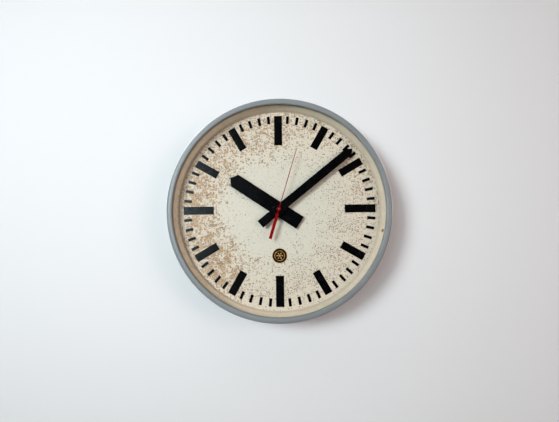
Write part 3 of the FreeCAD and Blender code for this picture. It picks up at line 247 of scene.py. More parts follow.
def makeMetalGroup():
    # bare metal with fine lines of working, and a dull film in patches
    group, taken, given = newGroup("workedMetal", [
        ("Spot", "NodeSocketVector", None), ("Colour", "NodeSocketColor", (0.6, 0.6, 0.6, 1)),
        ("Film Colour", "NodeSocketColor", (0.3, 0.3, 0.3, 1)), ("Film", "NodeSocketFloat", 0.3),
        ("Gloss Low", "NodeSocketFloat", 0.25)], surfaceOutputs)
    stretched = addNode(group, "ShaderNodeMapping", {
        "Vector": taken["Spot"], "Scale": metalShape["stretch"]})
    lines = noise(group, stretched.outputs[0], *metalShape["lineNoise"])
    filmNoise = noise(group, taken["Spot"], *metalShape["filmNoise"])
    film = between(group, filmNoise, *metalShape["filmRange"])
    dull = maths(group, "MULTIPLY", film, taken["Film"])
    feed(group, given["Colour"], blendColour(group, dull, taken["Colour"], taken["Film Colour"]))
    rough = scaled(group, lines, metalShape["lineRoughness"], taken["Gloss Low"])
    feed(group, given["Roughness"], scaled(group, dull, metalShape["filmRoughness"], rough))
    feed(group, given["Height"], lines)
    return group


mouldShape = {
    "cloudNoise": (0.25, 4.0, 0.6, 1.0),
    "cloudRange": (0.35, 0.75),
    "skinNoise": (2.6, 2.0, 0.5),
    "skinRoughness": 0.2,
}


def makeMouldedGroup():
    # moulded plastic or rubber: faint clouding and a fine skin
    group, taken, given = newGroup("mouldedSkin", [
        ("Spot", "NodeSocketVector", None), ("Colour", "NodeSocketColor", (0.2, 0.2, 0.2, 1)),
        ("Second Colour", "NodeSocketColor", (0.3, 0.3, 0.3, 1)), ("Gloss Low", "NodeSocketFloat", 0.4)],
        surfaceOutputs)
    cloudNoise = noise(group, taken["Spot"], *mouldShape["cloudNoise"])
    cloud = between(group, cloudNoise, *mouldShape["cloudRange"])
    skin = noise(group, taken["Spot"], *mouldShape["skinNoise"])
    feed(group, given["Colour"], blendColour(group, cloud, taken["Colour"], taken["Second Colour"]))
    feed(group, given["Roughness"], scaled(group, skin, mouldShape["skinRoughness"], taken["Gloss Low"]))
    feed(group, given["Height"], skin)
    return group


clockSpot = makeSpotGroup()
speckles = makeSpeckleGroup()
roundStains = makeStainGroup()
sprayedPaint = makePaintGroup()
workedMetal = makeMetalGroup()
mouldedSkin = makeMouldedGroup()


def newMaterial(name):
    material = bpy.data.materials.new(name)
    material.use_nodes = True
    tree = material.node_tree
    return material, tree, tree.nodes["Principled BSDF"].inputs


def addBump(tree, shader, height, strength, depth):
    bump = addNode(tree, "ShaderNodeBump", {"Strength": strength, "Distance": depth, "Height": height})
    feed(tree, shader["Normal"], bump.outputs["Normal"])


def towards(tree, place, way):
    # how far a spot lies in a way across the front, given as shares of left and up
    return scaled(tree, place["Up"], way[1], maths(tree, "MULTIPLY", place["Left"], way[0]))


def sprayOn(tree, place, finish):
    return useGroup(tree, sprayedPaint, {
        "Spot": place["Spot"], "Colour": finish["colour"], "Dust Colour": finish["dustColour"],
        "Dust": finish["dust"], "Gloss Low": finish["glossLow"], "Peel": finish["peel"]})


# Case finishes. Places and radii are in millimetres, and a bump is its strength and its depth in metres.

rimFinish = {
    "colour": sRgb(129, 135, 138),
    "dustColour": sRgb(140, 145, 147),
    "dust": 0.35,
    "glossLow": 0.34,
    "peel": 0.9,
    "bump": (0.12, 0.0004),
    "scuffs": {"Cell": 5.0, "Size": 0.22, "Density": 0.16},
    "scuffShare": 0.35,
    "scuffAndShadeColour": sRgb(92, 98, 102),  # colour of the scuffs, and of the painted shade under the lip
    "lineRadius": (189.2, 190.6),
    "lineWay": (1.0, 0.6),
    "lineRange": (-0.2, 0.7, 0.12),
    "nickColour": sRgb(96, 104, 110),
    "nickSpot": (-171.5, -67.0, -93.0),  # on the rim's lower left shoulder
    "nickRange": (3.2, 4.2),
    "nickScale": 0.6,
    "nickRagged": 2.4,
}


def makeRimPaint():
    material, tree, shader = newMaterial("rimPaint")
    place = useGroup(tree, clockSpot)
    paint = sprayOn(tree, place, rimFinish)
    away = vectorMaths(tree, "DISTANCE", place["Spot"], rimFinish["nickSpot"])
    ragged = scaled(tree, noise(tree, place["Spot"], rimFinish["nickScale"]), rimFinish["nickRagged"], away)
    nick = rest(tree, between(tree, ragged, *rimFinish["nickRange"]))
    scuffs = useGroup(tree, speckles, {"Spot": place["Spot"], **rimFinish["scuffs"]})
    marked = layer(tree, paint["Colour"], scuffs["Mask"], rimFinish["scuffShare"], rimFinish["scuffAndShadeColour"])
    # painted shade: a dark band along the lip's inner edge, stronger towards the upper left
    lipShadeBand = rest(tree, between(tree, place["Radius"], *rimFinish["lineRadius"]))
    shaded = between(tree, towards(tree, place, rimFinish["lineWay"]), *rimFinish["lineRange"])
    lipShaded = layer(tree, marked, lipShadeBand, shaded, rimFinish["scuffAndShadeColour"])
    feed(tree, shader["Base Color"], blendColour(tree, nick, lipShaded, rimFinish["nickColour"]))
    feed(tree, shader["Roughness"], paint["Roughness"])
    addBump(tree, shader, paint["Height"], *rimFinish["bump"])
    return material


coverFinish = {
    "colour": sRgb(126, 131, 131),
    "dustColour": sRgb(160, 156, 146),
    "dust": 0.4,
    "glossLow": 0.42,
    "peel": 0.9,
    "bump": (0.2, 0.0004),
    "rustColour": sRgb(118, 84, 58),
    "rustShare": 0.8,
    "edgeRadius": (168.0, 191.0),
    "pits": {"Cell": 6.0, "Size": 0.3},
    "pitDensity": 0.03,
    "edgeDensity": 0.3,  # more pits at the edge
}


def makeCoverPaint():
    material, tree, shader = newMaterial("coverPaint")
    place = useGroup(tree, clockSpot)
    paint = sprayOn(tree, place, coverFinish)
    edge = between(tree, place["Radius"], *coverFinish["edgeRadius"])
    density = scaled(tree, edge, coverFinish["edgeDensity"], coverFinish["pitDensity"])
    pits = useGroup(tree, speckles, {"Spot": place["Spot"], "Density": density, **coverFinish["pits"]})
    feed(tree, shader["Base Color"], layer(tree, paint["Colour"], pits["Mask"], coverFinish["rustShare"],
                                           coverFinish["rustColour"]))
    feed(tree, shader["Roughness"], paint["Roughness"])
    addBump(tree, shader, paint["Height"], *coverFinish["bump"])
    return material


glassFinish = {"tint": (0.02, 0.024, 0.023, 1.0), "clear": 0.012, "edgeGain": 0.7, "edgePower": 4.0,
               "roughness": 0.12, "ior": 1.45}


def makeClockGlass():
    material, tree, shader = newMaterial("clockGlass")
    feed(tree, shader["Base Color"], glassFinish["tint"])
    feed(tree, shader["Roughness"], glassFinish["roughness"])
    feed(tree, shader["IOR"], glassFinish["ior"])
    slant = addNode(tree, "ShaderNodeLayerWeight").outputs["Facing"]
    lift = maths(tree, "POWER", slant, glassFinish["edgePower"])
    lift = maths(tree, "MULTIPLY", lift, glassFinish["edgeGain"])
    feed(tree, shader["Alpha"], maths(tree, "ADD", lift, glassFinish["clear"], clamp=True))
    material.surface_render_method = "BLENDED"
    return material


# Dial finishes

dialFinish = {
    "cream": sRgb(217, 213, 197),
    "warmCream": sRgb(222, 210, 191),
    "tan": sRgb(184, 153, 114),
    "brown": sRgb(128, 94, 60),
    "darkBrown": sRgb(110, 78, 54),
    "footDark": sRgb(146, 112, 86),
    "roughness": 0.5,
    "stainRoughness": 0.2,
    "skinScale": 0.8,
    "bump": (0.1, 0.0003),
}

stainPlaces = {
    "wander": 80.0,  # millimetres that the edges of stained areas wander
    "wanderNoise": (0.024, 3.0),
    "leftWay": (1.0, 0.35),
    "leftRange": (-0.32, 0.4),
    "ringRadius": (84.0, 118.0),
    "ringFade": (166.0, 182.0, 0.35),
    "cornerWay": (-0.7, 0.7),
    "cornerRange": (0.45, 0.9, 0.8),
    "cornerRadius": (118.0, 158.0),
    "fanWay": (-0.8, -0.6),
    "fanRange": (-0.1, 0.8, 0.7),
    "fanRadius": (44.0, 138.0),
    "fanFade": (150.0, 170.0, 0.7),
    "fanElsewhere": 0.3,
    "warmStains": 0.8,
    "warmRadius": (60.0, 175.0, 0.9),
    "patchNoise": (0.045, 3.0, 0.6),
    "patchRange": (0.38, 0.62),
}

stainKinds = {
    "ragged": 1.0,  # millimetres that a stain's outline wanders
    "raggedScale": 0.45,
    "islandNoise": (0.095, 3.0, 0.6),
    "islandLevel": 0.83,
    "islandSpread": 0.2,
    "islandOuter": (92.0, 150.0, 0.1),
    "islandWay": (0.8, -0.6),
    "islandHeavy": (0.45, 0.9, 0.07),
    "islandSoft": 0.05,
    "islandShare": 0.75,
    "gaps": {"Cell": 4.4, "Smallest": 0.6, "Largest": 1.9, "Density": 0.75},
    "gapShare": 0.8,
    "spots": {"Cell": 5.0, "Smallest": 0.9, "Largest": 2.5},
    "spotDensity": 0.45,
    "spotPatches": 0.45,
    "spotShare": 0.6,
    "spotEdge": 0.6,
    "dots": {"Cell": 2.8, "Smallest": 0.5, "Largest": 1.3},
    "dotDensity": 0.3,
    "dotPatches": 0.7,
    "dotsInStains": 0.8,
    "dotShare": 0.82,
    "dust": {"Cell": 2.5, "Smallest": 0.4, "Largest": 0.95},
    "dustDensity": 0.26,
    "dustOuter": (30.0, 110.0, 0.08),
    "dustShare": 0.48,
    "footNoise": (0.3, 3.0, 0.6),
    "footScallop": 4.0,
    "footRadius": (182.4, 184.4),
    "footShare": 0.32,
    "footLeft": 0.4,
}


def placeStains(tree, place):
    # how much a spot belongs to the left, to the stained ring and to the fan, and to the patches in them
    spot, radius = place["Spot"], place["Radius"]
    centred = maths(tree, "SUBTRACT", noise(tree, spot, *stainPlaces["wanderNoise"]), 0.5)
    strayed = scaled(tree, centred, stainPlaces["wander"], radius)
    left = between(tree, towards(tree, place, stainPlaces["leftWay"]), *stainPlaces["leftRange"])
    # a ring on the left and over the top, smeared at the upper right
    ring = maths(tree, "MULTIPLY", between(tree, strayed, *stainPlaces["ringRadius"]),
                 rest(tree, between(tree, radius, *stainPlaces["ringFade"])))
    corner = between(tree, towards(tree, place, stainPlaces["cornerWay"]), *stainPlaces["cornerRange"])
    smeared = maths(tree, "MULTIPLY", between(tree, strayed, *stainPlaces["cornerRadius"]), corner)
    stained = maths(tree, "MAXIMUM", maths(tree, "MULTIPLY", ring, left), smeared)
    # a wide fan at the lower right
    fan = maths(tree, "MULTIPLY", between(tree, strayed, *stainPlaces["fanRadius"]),
                rest(tree, between(tree, radius, *stainPlaces["fanFade"])))
    lower = between(tree, towards(tree, place, stainPlaces["fanWay"]), *stainPlaces["fanRange"])
    fanned = maths(tree, "MULTIPLY", fan, maths(tree, "ADD", stainPlaces["fanElsewhere"], lower))
    patchy = between(tree, noise(tree, spot, *stainPlaces["patchNoise"]), *stainPlaces["patchRange"])
    return left, stained, fanned, patchy


def makeDialEnamel():
    material, tree, shader = newMaterial("dialEnamel")
    place = useGroup(tree, clockSpot)
    spot, radius = place["Spot"], place["Radius"]
    left, stained, fanned, patchy = placeStains(tree, place)
    shake = addNode(tree, "ShaderNodeTexNoise", {"Vector": spot, "Scale": stainKinds["raggedScale"]})
    shift = vectorMaths(tree, "MULTIPLY", shake.outputs["Color"], (2 * stainKinds["ragged"],) * 3)
    ragged = vectorMaths(tree, "ADD", shift, spot)
    warm = maths(tree, "MAXIMUM", maths(tree, "MULTIPLY", stained, stainPlaces["warmStains"]),
                 between(tree, radius, *stainPlaces["warmRadius"]))
    colour = blendColour(tree, warm, dialFinish["cream"], dialFinish["warmCream"])
    # tan islands, broken by cream gaps
    outer = between(tree, radius, *stainKinds["islandOuter"])
    outer = maths(tree, "ADD", stainKinds["islandSpread"], outer)
    lowLeft = between(tree, towards(tree, place, stainKinds["islandWay"]), *stainKinds["islandHeavy"])
    heavy = maths(tree, "MULTIPLY", stained, maths(tree, "ADD", outer, lowLeft))
    islandEdge = maths(tree, "SUBTRACT", stainKinds["islandLevel"], heavy)
    cloud = noise(tree, ragged, *stainKinds["islandNoise"])
    island = between(tree, maths(tree, "SUBTRACT", cloud, islandEdge), 0.0, stainKinds["islandSoft"])
    gaps = useGroup(tree, roundStains, {"Spot": ragged, **stainKinds["gaps"]})
    kept = rest(tree, maths(tree, "MULTIPLY", gaps["Mask"], stainKinds["gapShare"]))
    island = maths(tree, "MULTIPLY", island, kept)
    colour = layer(tree, colour, island, stainKinds["islandShare"], dialFinish["tan"])
    # ringed spots between the islands
    density = scaled(tree, patchy, stainKinds["spotPatches"], stainKinds["spotDensity"])
    spots = useGroup(tree, roundStains, {
        "Spot": ragged, "Density": maths(tree, "MULTIPLY", stained, density), **stainKinds["spots"]})
    colour = layer(tree, colour, spots["Mask"], stainKinds["spotShare"], dialFinish["tan"])
    colour = layer(tree, colour, spots["Edge"], stainKinds["spotEdge"], dialFinish["brown"])
    # small dark dots, most at the lower right
    both = maths(tree, "MAXIMUM", fanned, maths(tree, "MULTIPLY", stained, stainKinds["dotsInStains"]))
    density = scaled(tree, patchy, stainKinds["dotPatches"], stainKinds["dotDensity"])
    dots = useGroup(tree, roundStains, {
        "Spot": spot, "Density": maths(tree, "MULTIPLY", both, density), **stainKinds["dots"]})
    colour = layer(tree, colour, dots["Mask"], stainKinds["dotShare"], dialFinish["darkBrown"])
    # fine dust all over
    outer = between(tree, radius, *stainKinds["dustOuter"])
    density = maths(tree, "ADD", stainKinds["dustDensity"], outer)
    dust = useGroup(tree, roundStains, {"Spot": spot, "Density": density, **stainKinds["dust"]})
    colour = layer(tree, colour, dust["Mask"], stainKinds["dustShare"], dialFinish["darkBrown"])
    # a darker scalloped band in the corner where the dial meets the surround, stronger on the left
    reach = scaled(tree, noise(tree, spot, *stainKinds["footNoise"]), stainKinds["footScallop"], radius)
    foot = between(tree, reach, *stainKinds["footRadius"])
    footShare = scaled(tree, left, stainKinds["footLeft"], stainKinds["footShare"])
    feed(tree, shader["Base Color"], layer(tree, colour, foot, footShare, dialFinish["footDark"]))
    rough = scaled(tree, stained, dialFinish["stainRoughness"], dialFinish["roughness"])
    feed(tree, shader["Roughness"], rough)
    skin = maths(tree, "ADD", spots["Mask"], noise(tree, spot, dialFinish["skinScale"]))
    addBump(tree, shader, skin, *dialFinish["bump"])
    return material


surroundFinish = {
    "cream": sRgb(214, 206, 184),
    "pale": sRgb(236, 219, 198),
    "ochre": sRgb(238, 230, 206),
    "brown": sRgb(190, 162, 124),
    "leftRange": (0.2, 0.9),
    "rightRange": (-0.2, -0.9, 0.6),
    "lowRange": (-0.3, -0.9, 0.4),
    "streakNoise": (0.1, 5.0, 0.65, 0.5),
    "streakRange": (0.42, 0.7),
    "streakShare": 0.2,
    "streakLeft": 0.2,
    "dots": {"Cell": 3.0, "Size": 0.3, "Density": 0.3},
    "dotShare": 0.3,
    "footDark": sRgb(132, 100, 76),
    "footNoise": (0.4, 3.0, 0.7),
    "footScallop": 5.0,
    "footRadius": (180.8, 182.8),
    "footShare": 0.22,
    "footLeft": 0.46,
    "lipShadeRadius": (188.4, 190.4),
    "lipShadeLeft": 0.5,
    "rust": sRgb(146, 104, 58),
    "rustSpot": (183.4, -56.8, -40.9),  # one rust mark on the right
    "rustRange": (1.8, 4.4),
    "roughness": 0.5,
    "streakRoughness": 0.2,
    "skinScale": 0.7,
    "bump": (0.1, 0.0003),
}


def makeSurroundEnamel():
    finish = surroundFinish
    material, tree, shader = newMaterial("surroundEnamel")
    place = useGroup(tree, clockSpot)
    spot, radius = place["Spot"], place["Radius"]
    left = between(tree, place["Left"], *finish["leftRange"])
    right = between(tree, place["Left"], *finish["rightRange"])
    low = between(tree, place["Up"], *finish["lowRange"])
    # the tones by side stand in for light and shade: painted darker cream at the top, painted lighter pale
    # on the right and at the bottom, and ochre on the left
    colour = blendColour(tree, maths(tree, "MAXIMUM", right, low), finish["cream"], finish["pale"])
    colour = blendColour(tree, left, colour, finish["ochre"])
    streaks = between(tree, noise(tree, spot, *finish["streakNoise"]), *finish["streakRange"])
    streakShare = scaled(tree, left, finish["streakLeft"], finish["streakShare"])
    colour = layer(tree, colour, streaks, streakShare, finish["brown"])
    dots = useGroup(tree, speckles, {"Spot": spot, **finish["dots"]})
    colour = layer(tree, colour, dots["Mask"], finish["dotShare"], finish["brown"])
    # a darker band at the foot, stronger on the left, and painted shade under the lip at the top, on the
    # left only
    scallop = maths(tree, "MULTIPLY", noise(tree, spot, *finish["footNoise"]), finish["footScallop"])
    foot = rest(tree, between(tree, maths(tree, "SUBTRACT", radius, scallop), *finish["footRadius"]))
    footShare = scaled(tree, left, finish["footLeft"], finish["footShare"])
    colour = layer(tree, colour, foot, footShare, finish["footDark"])
    # painted shade: a brown band just under the lip, on the left side only
    top = between(tree, radius, *finish["lipShadeRadius"])
    colour = layer(tree, colour, top, maths(tree, "MULTIPLY", left, finish["lipShadeLeft"]), finish["brown"])
    away = vectorMaths(tree, "DISTANCE", spot, finish["rustSpot"])
    rust = rest(tree, between(tree, away, *finish["rustRange"]))
    feed(tree, shader["Base Color"], blendColour(tree, rust, colour, finish["rust"]))
    feed(tree, shader["Roughness"], scaled(tree, streaks, finish["streakRoughness"], finish["roughness"]))
    addBump(tree, shader, noise(tree, spot, finish["skinScale"]), *finish["bump"])
    return material


flatPaint = {"dust": 0.4, "peel": 1.6, "specks": {"Cell": 2.2, "Size": 0.16, "Density": 0.14},
             "speckShare": 0.4, "bump": (0.05, 0.0002)}
flatFinish = {
    # material's name, colour, worn colour, smoothest roughness, shine
    "mark_black": ("barPaint", sRgb(2, 2, 3), sRgb(7, 7, 8), 0.18, 0.13),
    "hand_black": ("handPaint", sRgb(2, 2, 3), sRgb(6, 6, 7), 0.2, 0.09),
    "hand_red": ("secondPaint", sRgb(136, 2, 9), sRgb(118, 10, 12), 0.3, 0.06),
}


def makeFlatPaint(name, colour, worn, glossLow, shine):
    material, tree, shader = newMaterial(name)
    place = useGroup(tree, clockSpot)
    paint = sprayOn(tree, place, {"colour": colour, "dustColour": worn, "glossLow": glossLow, **flatPaint})
    specks = useGroup(tree, speckles, {"Spot": place["Spot"], **flatPaint["specks"]})
    colour = layer(tree, paint["Colour"], specks["Mask"], flatPaint["speckShare"], worn)
    feed(tree, shader["Base Color"], colour)
    feed(tree, shader["Roughness"], paint["Roughness"])
    feed(tree, shader["Specular IOR Level"], shine)
    addBump(tree, shader, paint["Height"], *flatPaint["bump"])
    return material


# Bare metals, plastics and the winding

metalBump = (0.1, 0.0001)
metalFinish = {
    # colour, film colour, share of film, smoothest roughness
    "brass": (sRgb(196, 160, 92), sRgb(126, 94, 50), 0.55, 0.24),
    "steel": (sRgb(168, 170, 172), sRgb(110, 108, 104), 0.35, 0.2),
    "zinc_steel": (sRgb(178, 178, 172), sRgb(128, 122, 106), 0.5, 0.3),
    "core_steel": (sRgb(88, 90, 95), sRgb(70, 58, 48), 0.6, 0.36),
    "capsule": (sRgb(186, 188, 190), sRgb(140, 140, 138), 0.4, 0.26),
}


def workOn(tree, place, colour, filmColour, film, glossLow):
    return useGroup(tree, workedMetal, {
        "Spot": place["Spot"], "Colour": colour, "Film Colour": filmColour, "Film": film,
        "Gloss Low": glossLow})


def makeMetal(slot):
    material, tree, shader = newMaterial(slot + "Metal")
    metal = workOn(tree, useGroup(tree, clockSpot), *metalFinish[slot])
    feed(tree, shader["Metallic"], 1.0)
    feed(tree, shader["Base Color"], metal["Colour"])
    feed(tree, shader["Roughness"], metal["Roughness"])
    addBump(tree, shader, metal["Height"], *metalBump)
    return material


mouldedBump = (0.15, 0.0002)
wireBump = (0.1, 0.0001)
mouldedFinish = {
    # colour, second colour, smoothest roughness, share of metal, bump
    "winding": (sRgb(168, 92, 44), sRgb(120, 58, 26), 0.2, 0.6, wireBump),
    "rubber": (sRgb(34, 34, 34), sRgb(52, 51, 49), 0.62, 0.0, mouldedBump),
    "agedRubber": (sRgb(168, 150, 124), sRgb(186, 170, 144), 0.6, 0.0, mouldedBump),
    "bobbin": (sRgb(214, 203, 176), sRgb(196, 182, 150), 0.42, 0.0, mouldedBump),
    "phenolic": (sRgb(46, 30, 22), sRgb(66, 42, 28), 0.22, 0.0, mouldedBump),
    "lead_sleeve": (sRgb(120, 36, 30), sRgb(92, 30, 26), 0.55, 0.0, mouldedBump),
}


def makeMoulded(slot):
    colour, secondColour, glossLow, metallic, bump = mouldedFinish[slot]
    material, tree, shader = newMaterial(slot + "Moulded")
    place = useGroup(tree, clockSpot)
    skin = useGroup(tree, mouldedSkin, {
        "Spot": place["Spot"], "Colour": colour, "Second Colour": secondColour, "Gloss Low": glossLow})
    feed(tree, shader["Metallic"], metallic)
    feed(tree, shader["Base Color"], skin["Colour"])
    feed(tree, shader["Roughness"], skin["Roughness"])
    addBump(tree, shader, skin["Height"], *bump)
    return material


medalFinish = {
    "metal": (sRgb(212, 166, 98), sRgb(112, 76, 40), 0.6, 0.42),  # as in metalFinish
    "shine": 0.1,
    "bump": (0.12, 0.0001),
    "enamel": sRgb(20, 12, 6),
    "enamelInside": (2.0, 2.3),  # millimetres from the medallion's centre
    "enamelOutside": (12.7, 13.0),
}


def makeMedalBrass(name, enamelled):
    material, tree, shader = newMaterial(name)
    place = useGroup(tree, clockSpot)
    metal = workOn(tree, place, *medalFinish["metal"])
    colour = metal["Colour"]
    metallic = 1.0
    if enamelled:
        low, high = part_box("dial_emblem")
        middle = (0.0, 0.0, (low.z + high.z) / 2 / millimetre)
        flat = vectorMaths(tree, "MULTIPLY", place["Spot"], acrossFront)
        away = vectorMaths(tree, "DISTANCE", flat, middle)
        enamel = maths(tree, "SUBTRACT", between(tree, away, *medalFinish["enamelInside"]),
                       between(tree, away, *medalFinish["enamelOutside"]))
        colour = blendColour(tree, enamel, colour, medalFinish["enamel"])
        metallic = rest(tree, enamel)
    feed(tree, shader["Metallic"], metallic)
    feed(tree, shader["Specular IOR Level"], medalFinish["shine"])
    feed(tree, shader["Roughness"], metal["Roughness"])
    feed(tree, shader["Base Color"], colour)
    addBump(tree, shader, metal["Height"], *medalFinish["bump"])
    return material


materials = {
    "rim_paint": makeRimPaint(),
    "cover_paint": makeCoverPaint(),
    "glass": makeClockGlass(),
    "dial_paint": makeDialEnamel(),
    "emblem_brass": makeMedalBrass("medalBrass", True),
}
for slotName in flatFinish:
    materials[slotName] = makeFlatPaint(*flatFinish[slotName])
for slotName in metalFinish:
    materials[slotName] = makeMetal(slotName)
for slotName in mouldedFinish:
    materials[slotName] = makeMoulded(slotName)
surroundEnamel = makeSurroundEnamel()
print("materials made:", len(materials) + 1)

for entry in frame["record"]["subparts"]:
    mesh = nodes[entry["node"]].data
    mesh.materials.clear()
    mesh.materials.append(materials[entry["material_slot"]])
nodes["dial_surround"].data.materials[0] = surroundEnamel
nodes["glass_gasket"].data.materials[0] = materials["agedRubber"]
print("finishes on every piece")


# Repeated details, each from its own geometry node tree, with lengths in metres

placeInputs = [("Place", "NodeSocketVector"), ("Turn", "NodeSocketVector"),
               ("Finish", "NodeSocketMaterial")]
facingFront = (math.pi / 2, 0.0, 0.0)  # turns a tree's own z towards the front of the clock
unturned = (0.0, 0.0, 0.0)


def newTree(name, inputs):
    tree = bpy.data.node_groups.new(name, "GeometryNodeTree")
    for label, kind in inputs + placeInputs:
        tree.interface.new_socket(label, in_out="INPUT", socket_type=kind)
    tree.interface.new_socket("Geometry", in_out="OUTPUT", socket_type="NodeSocketGeometry")
    return tree, tree.nodes.new("NodeGroupInput").outputs, tree.nodes.new("NodeGroupOutput").inputs


def endTree(tree, geometry, given, taken):
    # moved to its place, made real and given its finish
    moved = addNode(tree, "GeometryNodeTransform", {
        "Geometry": geometry, "Translation": taken["Place"], "Rotation": taken["Turn"]})
    real = addNode(tree, "GeometryNodeRealizeInstances", {"Geometry": moved.outputs[0]})
    finish = addNode(tree, "GeometryNodeSetMaterial", {
        "Geometry": real.outputs[0], "Material": taken["Finish"]})
    feed(tree, given["Geometry"], finish.outputs[0])


def sweep(tree, path, sides, radius):
    section = addNode(tree, "GeometryNodeCurvePrimitiveCircle", {"Resolution": sides, "Radius": radius})
    swept = addNode(tree, "GeometryNodeCurveToMesh", {"Curve": path, "Profile Curve": section.outputs[0]})
    return swept.outputs[0]


def growPiece(name, tree, values, body):
    maker = bpy.data.objects.new(name + "Maker", bpy.data.meshes.new(name + "Start"))
    bpy.context.scene.collection.objects.link(maker)
    modifier = maker.modifiers.new(name, "NODES")
    modifier.node_group = tree
    for item in tree.interface.items_tree:
        if item.in_out == "INPUT":
            modifier[item.identifier] = values[item.name]
    graph = bpy.context.evaluated_depsgraph_get()
    mesh = bpy.data.meshes.new_from_object(maker.evaluated_get(graph))
    maker.modifiers.remove(modifier)
    bpy.data.objects.remove(maker)
    piece = bpy.data.objects.new(name, mesh)
    bpy.context.scene.collection.objects.link(piece)
    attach(piece, body)
    print("grown:", name, len(mesh.polygons), "faces")


def centreOf(node):
    low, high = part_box(node)
    return (low + high) / 2, high - low


knobRibs = {"count": 32, "sides": 10, "ribRadius": 0.00042, "sink": 0.0001, "endGap": 0.0012}


def makeKnobRibs():
    tree, taken, given = newTree("knobRibs", [
        ("Count", "NodeSocketInt"), ("Ring", "NodeSocketFloat"), ("Rib Radius", "NodeSocketFloat"),
        ("Rib Length", "NodeSocketFloat")])
    ring = addNode(tree, "GeometryNodeMeshCircle", {"Vertices": taken["Count"], "Radius": taken["Ring"]})
    rib = addNode(tree, "GeometryNodeMeshCylinder", {
        "Vertices": knobRibs["sides"], "Radius": taken["Rib Radius"], "Depth": taken["Rib Length"]})
    copies = addNode(tree, "GeometryNodeInstanceOnPoints", {
        "Points": ring.outputs["Mesh"], "Instance": rib.outputs["Mesh"]})
    endTree(tree, copies.outputs[0], given, taken)
    middle, size = centreOf("setting_knob")
    growPiece("knobRibs", tree, {
        "Count": knobRibs["count"], "Ring": size.x / 2 - knobRibs["sink"],
        "Rib Radius": knobRibs["ribRadius"], "Rib Length": size.y - 2 * knobRibs["endGap"],
        "Place": middle, "Turn": facingFront, "Finish": materials["phenolic"]}, "setting_train")


windingTurns = {"turns": 34, "layerInset": 0.0003, "corner": 0.0025, "cornerSteps": 5, "wireSides": 8}


def makeWindingTurns():
    tree, taken, given = newTree("windingTurns", [
        ("Turns", "NodeSocketInt"), ("Width", "NodeSocketFloat"), ("Depth", "NodeSocketFloat"),
        ("Corner", "NodeSocketFloat"), ("Wire Radius", "NodeSocketFloat"), ("Pitch", "NodeSocketVector")])
    loop = addNode(tree, "GeometryNodeCurvePrimitiveQuadrilateral", {
        "Width": taken["Width"], "Height": taken["Depth"]})
    rounded = addNode(tree, "GeometryNodeFilletCurve", {
        "Curve": loop.outputs[0], "Count": windingTurns["cornerSteps"], "Radius": taken["Corner"]},
        mode="POLY")
    turn = sweep(tree, rounded.outputs[0], windingTurns["wireSides"], taken["Wire Radius"])
    line = addNode(tree, "GeometryNodeMeshLine", {"Count": taken["Turns"], "Offset": taken["Pitch"]})
    copies = addNode(tree, "GeometryNodeInstanceOnPoints", {
        "Points": line.outputs["Mesh"], "Instance": turn})
    endTree(tree, copies.outputs[0], given, taken)
    middle, size = centreOf("coil_winding")
    pitch = size.z / windingTurns["turns"]
    inset = windingTurns["layerInset"]
    lowest = middle - Vector((0.0, 0.0, size.z / 2 - pitch / 2))
    growPiece("windingTurns", tree, {
        "Turns": windingTurns["turns"], "Width": size.x - 2 * inset, "Depth": size.y - 2 * inset,
        "Corner": windingTurns["corner"], "Wire Radius": pitch / 2, "Pitch": (0.0, 0.0, pitch),
        "Place": lowest, "Turn": unturned, "Finish": materials["winding"]}, "case")


medalRays = {"count": 6, "inner": 0.0030, "outer": 0.0062, "width": 0.0016, "height": 0.0003,
             "ring": 0.0088, "ringRadius": 0.0006, "ringSteps": 64, "ringSides": 10,
             "dish": 0.0005}  # dish: thickness of the medallion's plate inside its raised rim


def makeMedalRays():
    tree, taken, given = newTree("medalRays", [
        ("Count", "NodeSocketInt"), ("Middle", "NodeSocketFloat"), ("Ray Size", "NodeSocketVector"),
        ("Ring", "NodeSocketFloat"), ("Ring Radius", "NodeSocketFloat")])
    points = addNode(tree, "GeometryNodeMeshCircle", {
        "Vertices": taken["Count"], "Radius": taken["Middle"]})
    ray = addNode(tree, "GeometryNodeMeshCube", {"Size": taken["Ray Size"]})
    step = maths(tree, "DIVIDE", math.tau, taken["Count"])
    angle = maths(tree, "MULTIPLY", addNode(tree, "GeometryNodeInputIndex").outputs[0], step)
    turned = addNode(tree, "ShaderNodeCombineXYZ", {"Z": angle})
    copies = addNode(tree, "GeometryNodeInstanceOnPoints", {
        "Points": points.outputs["Mesh"], "Instance": ray.outputs["Mesh"], "Rotation": turned.outputs[0]})
    circle = addNode(tree, "GeometryNodeCurvePrimitiveCircle", {
        "Resolution": medalRays["ringSteps"], "Radius": taken["Ring"]})
    ring = sweep(tree, circle.outputs[0], medalRays["ringSides"], taken["Ring Radius"])
    both = addNode(tree, "GeometryNodeJoinGeometry")
    feed(tree, both.inputs[0], copies.outputs[0])
    feed(tree, both.inputs[0], ring)
    endTree(tree, both.outputs[0], given, taken)
    middle, _ = centreOf("dial_emblem")
    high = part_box("dial_emblem")[1]
    plateFront = high.y - medalRays["dish"]
    growPiece("medalRays", tree, {
        "Count": medalRays["count"], "Middle": (medalRays["inner"] + medalRays["outer"]) / 2,
        "Ray Size": (medalRays["outer"] - medalRays["inner"], medalRays["width"], medalRays["height"]),
        "Ring": medalRays["ring"], "Ring Radius": medalRays["ringRadius"],
        "Place": Vector((middle.x, plateFront - medalRays["height"] / 2, middle.z)), "Turn": facingFront,
        "Finish": makeMedalBrass("rayBrass", False)}, "case")


makeKnobRibs()
makeWindingTurns()
makeMedalRays()


# Wall, floor, lights and camera

stageFinish = {
    "wallColour": sRgb(231, 232, 234),
    "floorColour": sRgb(218, 212, 207),
    "cloudColour": (0.72, 0.72, 0.74, 1.0),
    "cloudNoise": (1.2, 4.0),
    "cloudShare": 0.12,
    "roughness": 0.85,
    "grainNoise": (180.0, 3.0),
    "bump": (0.06, 0.0005),
}


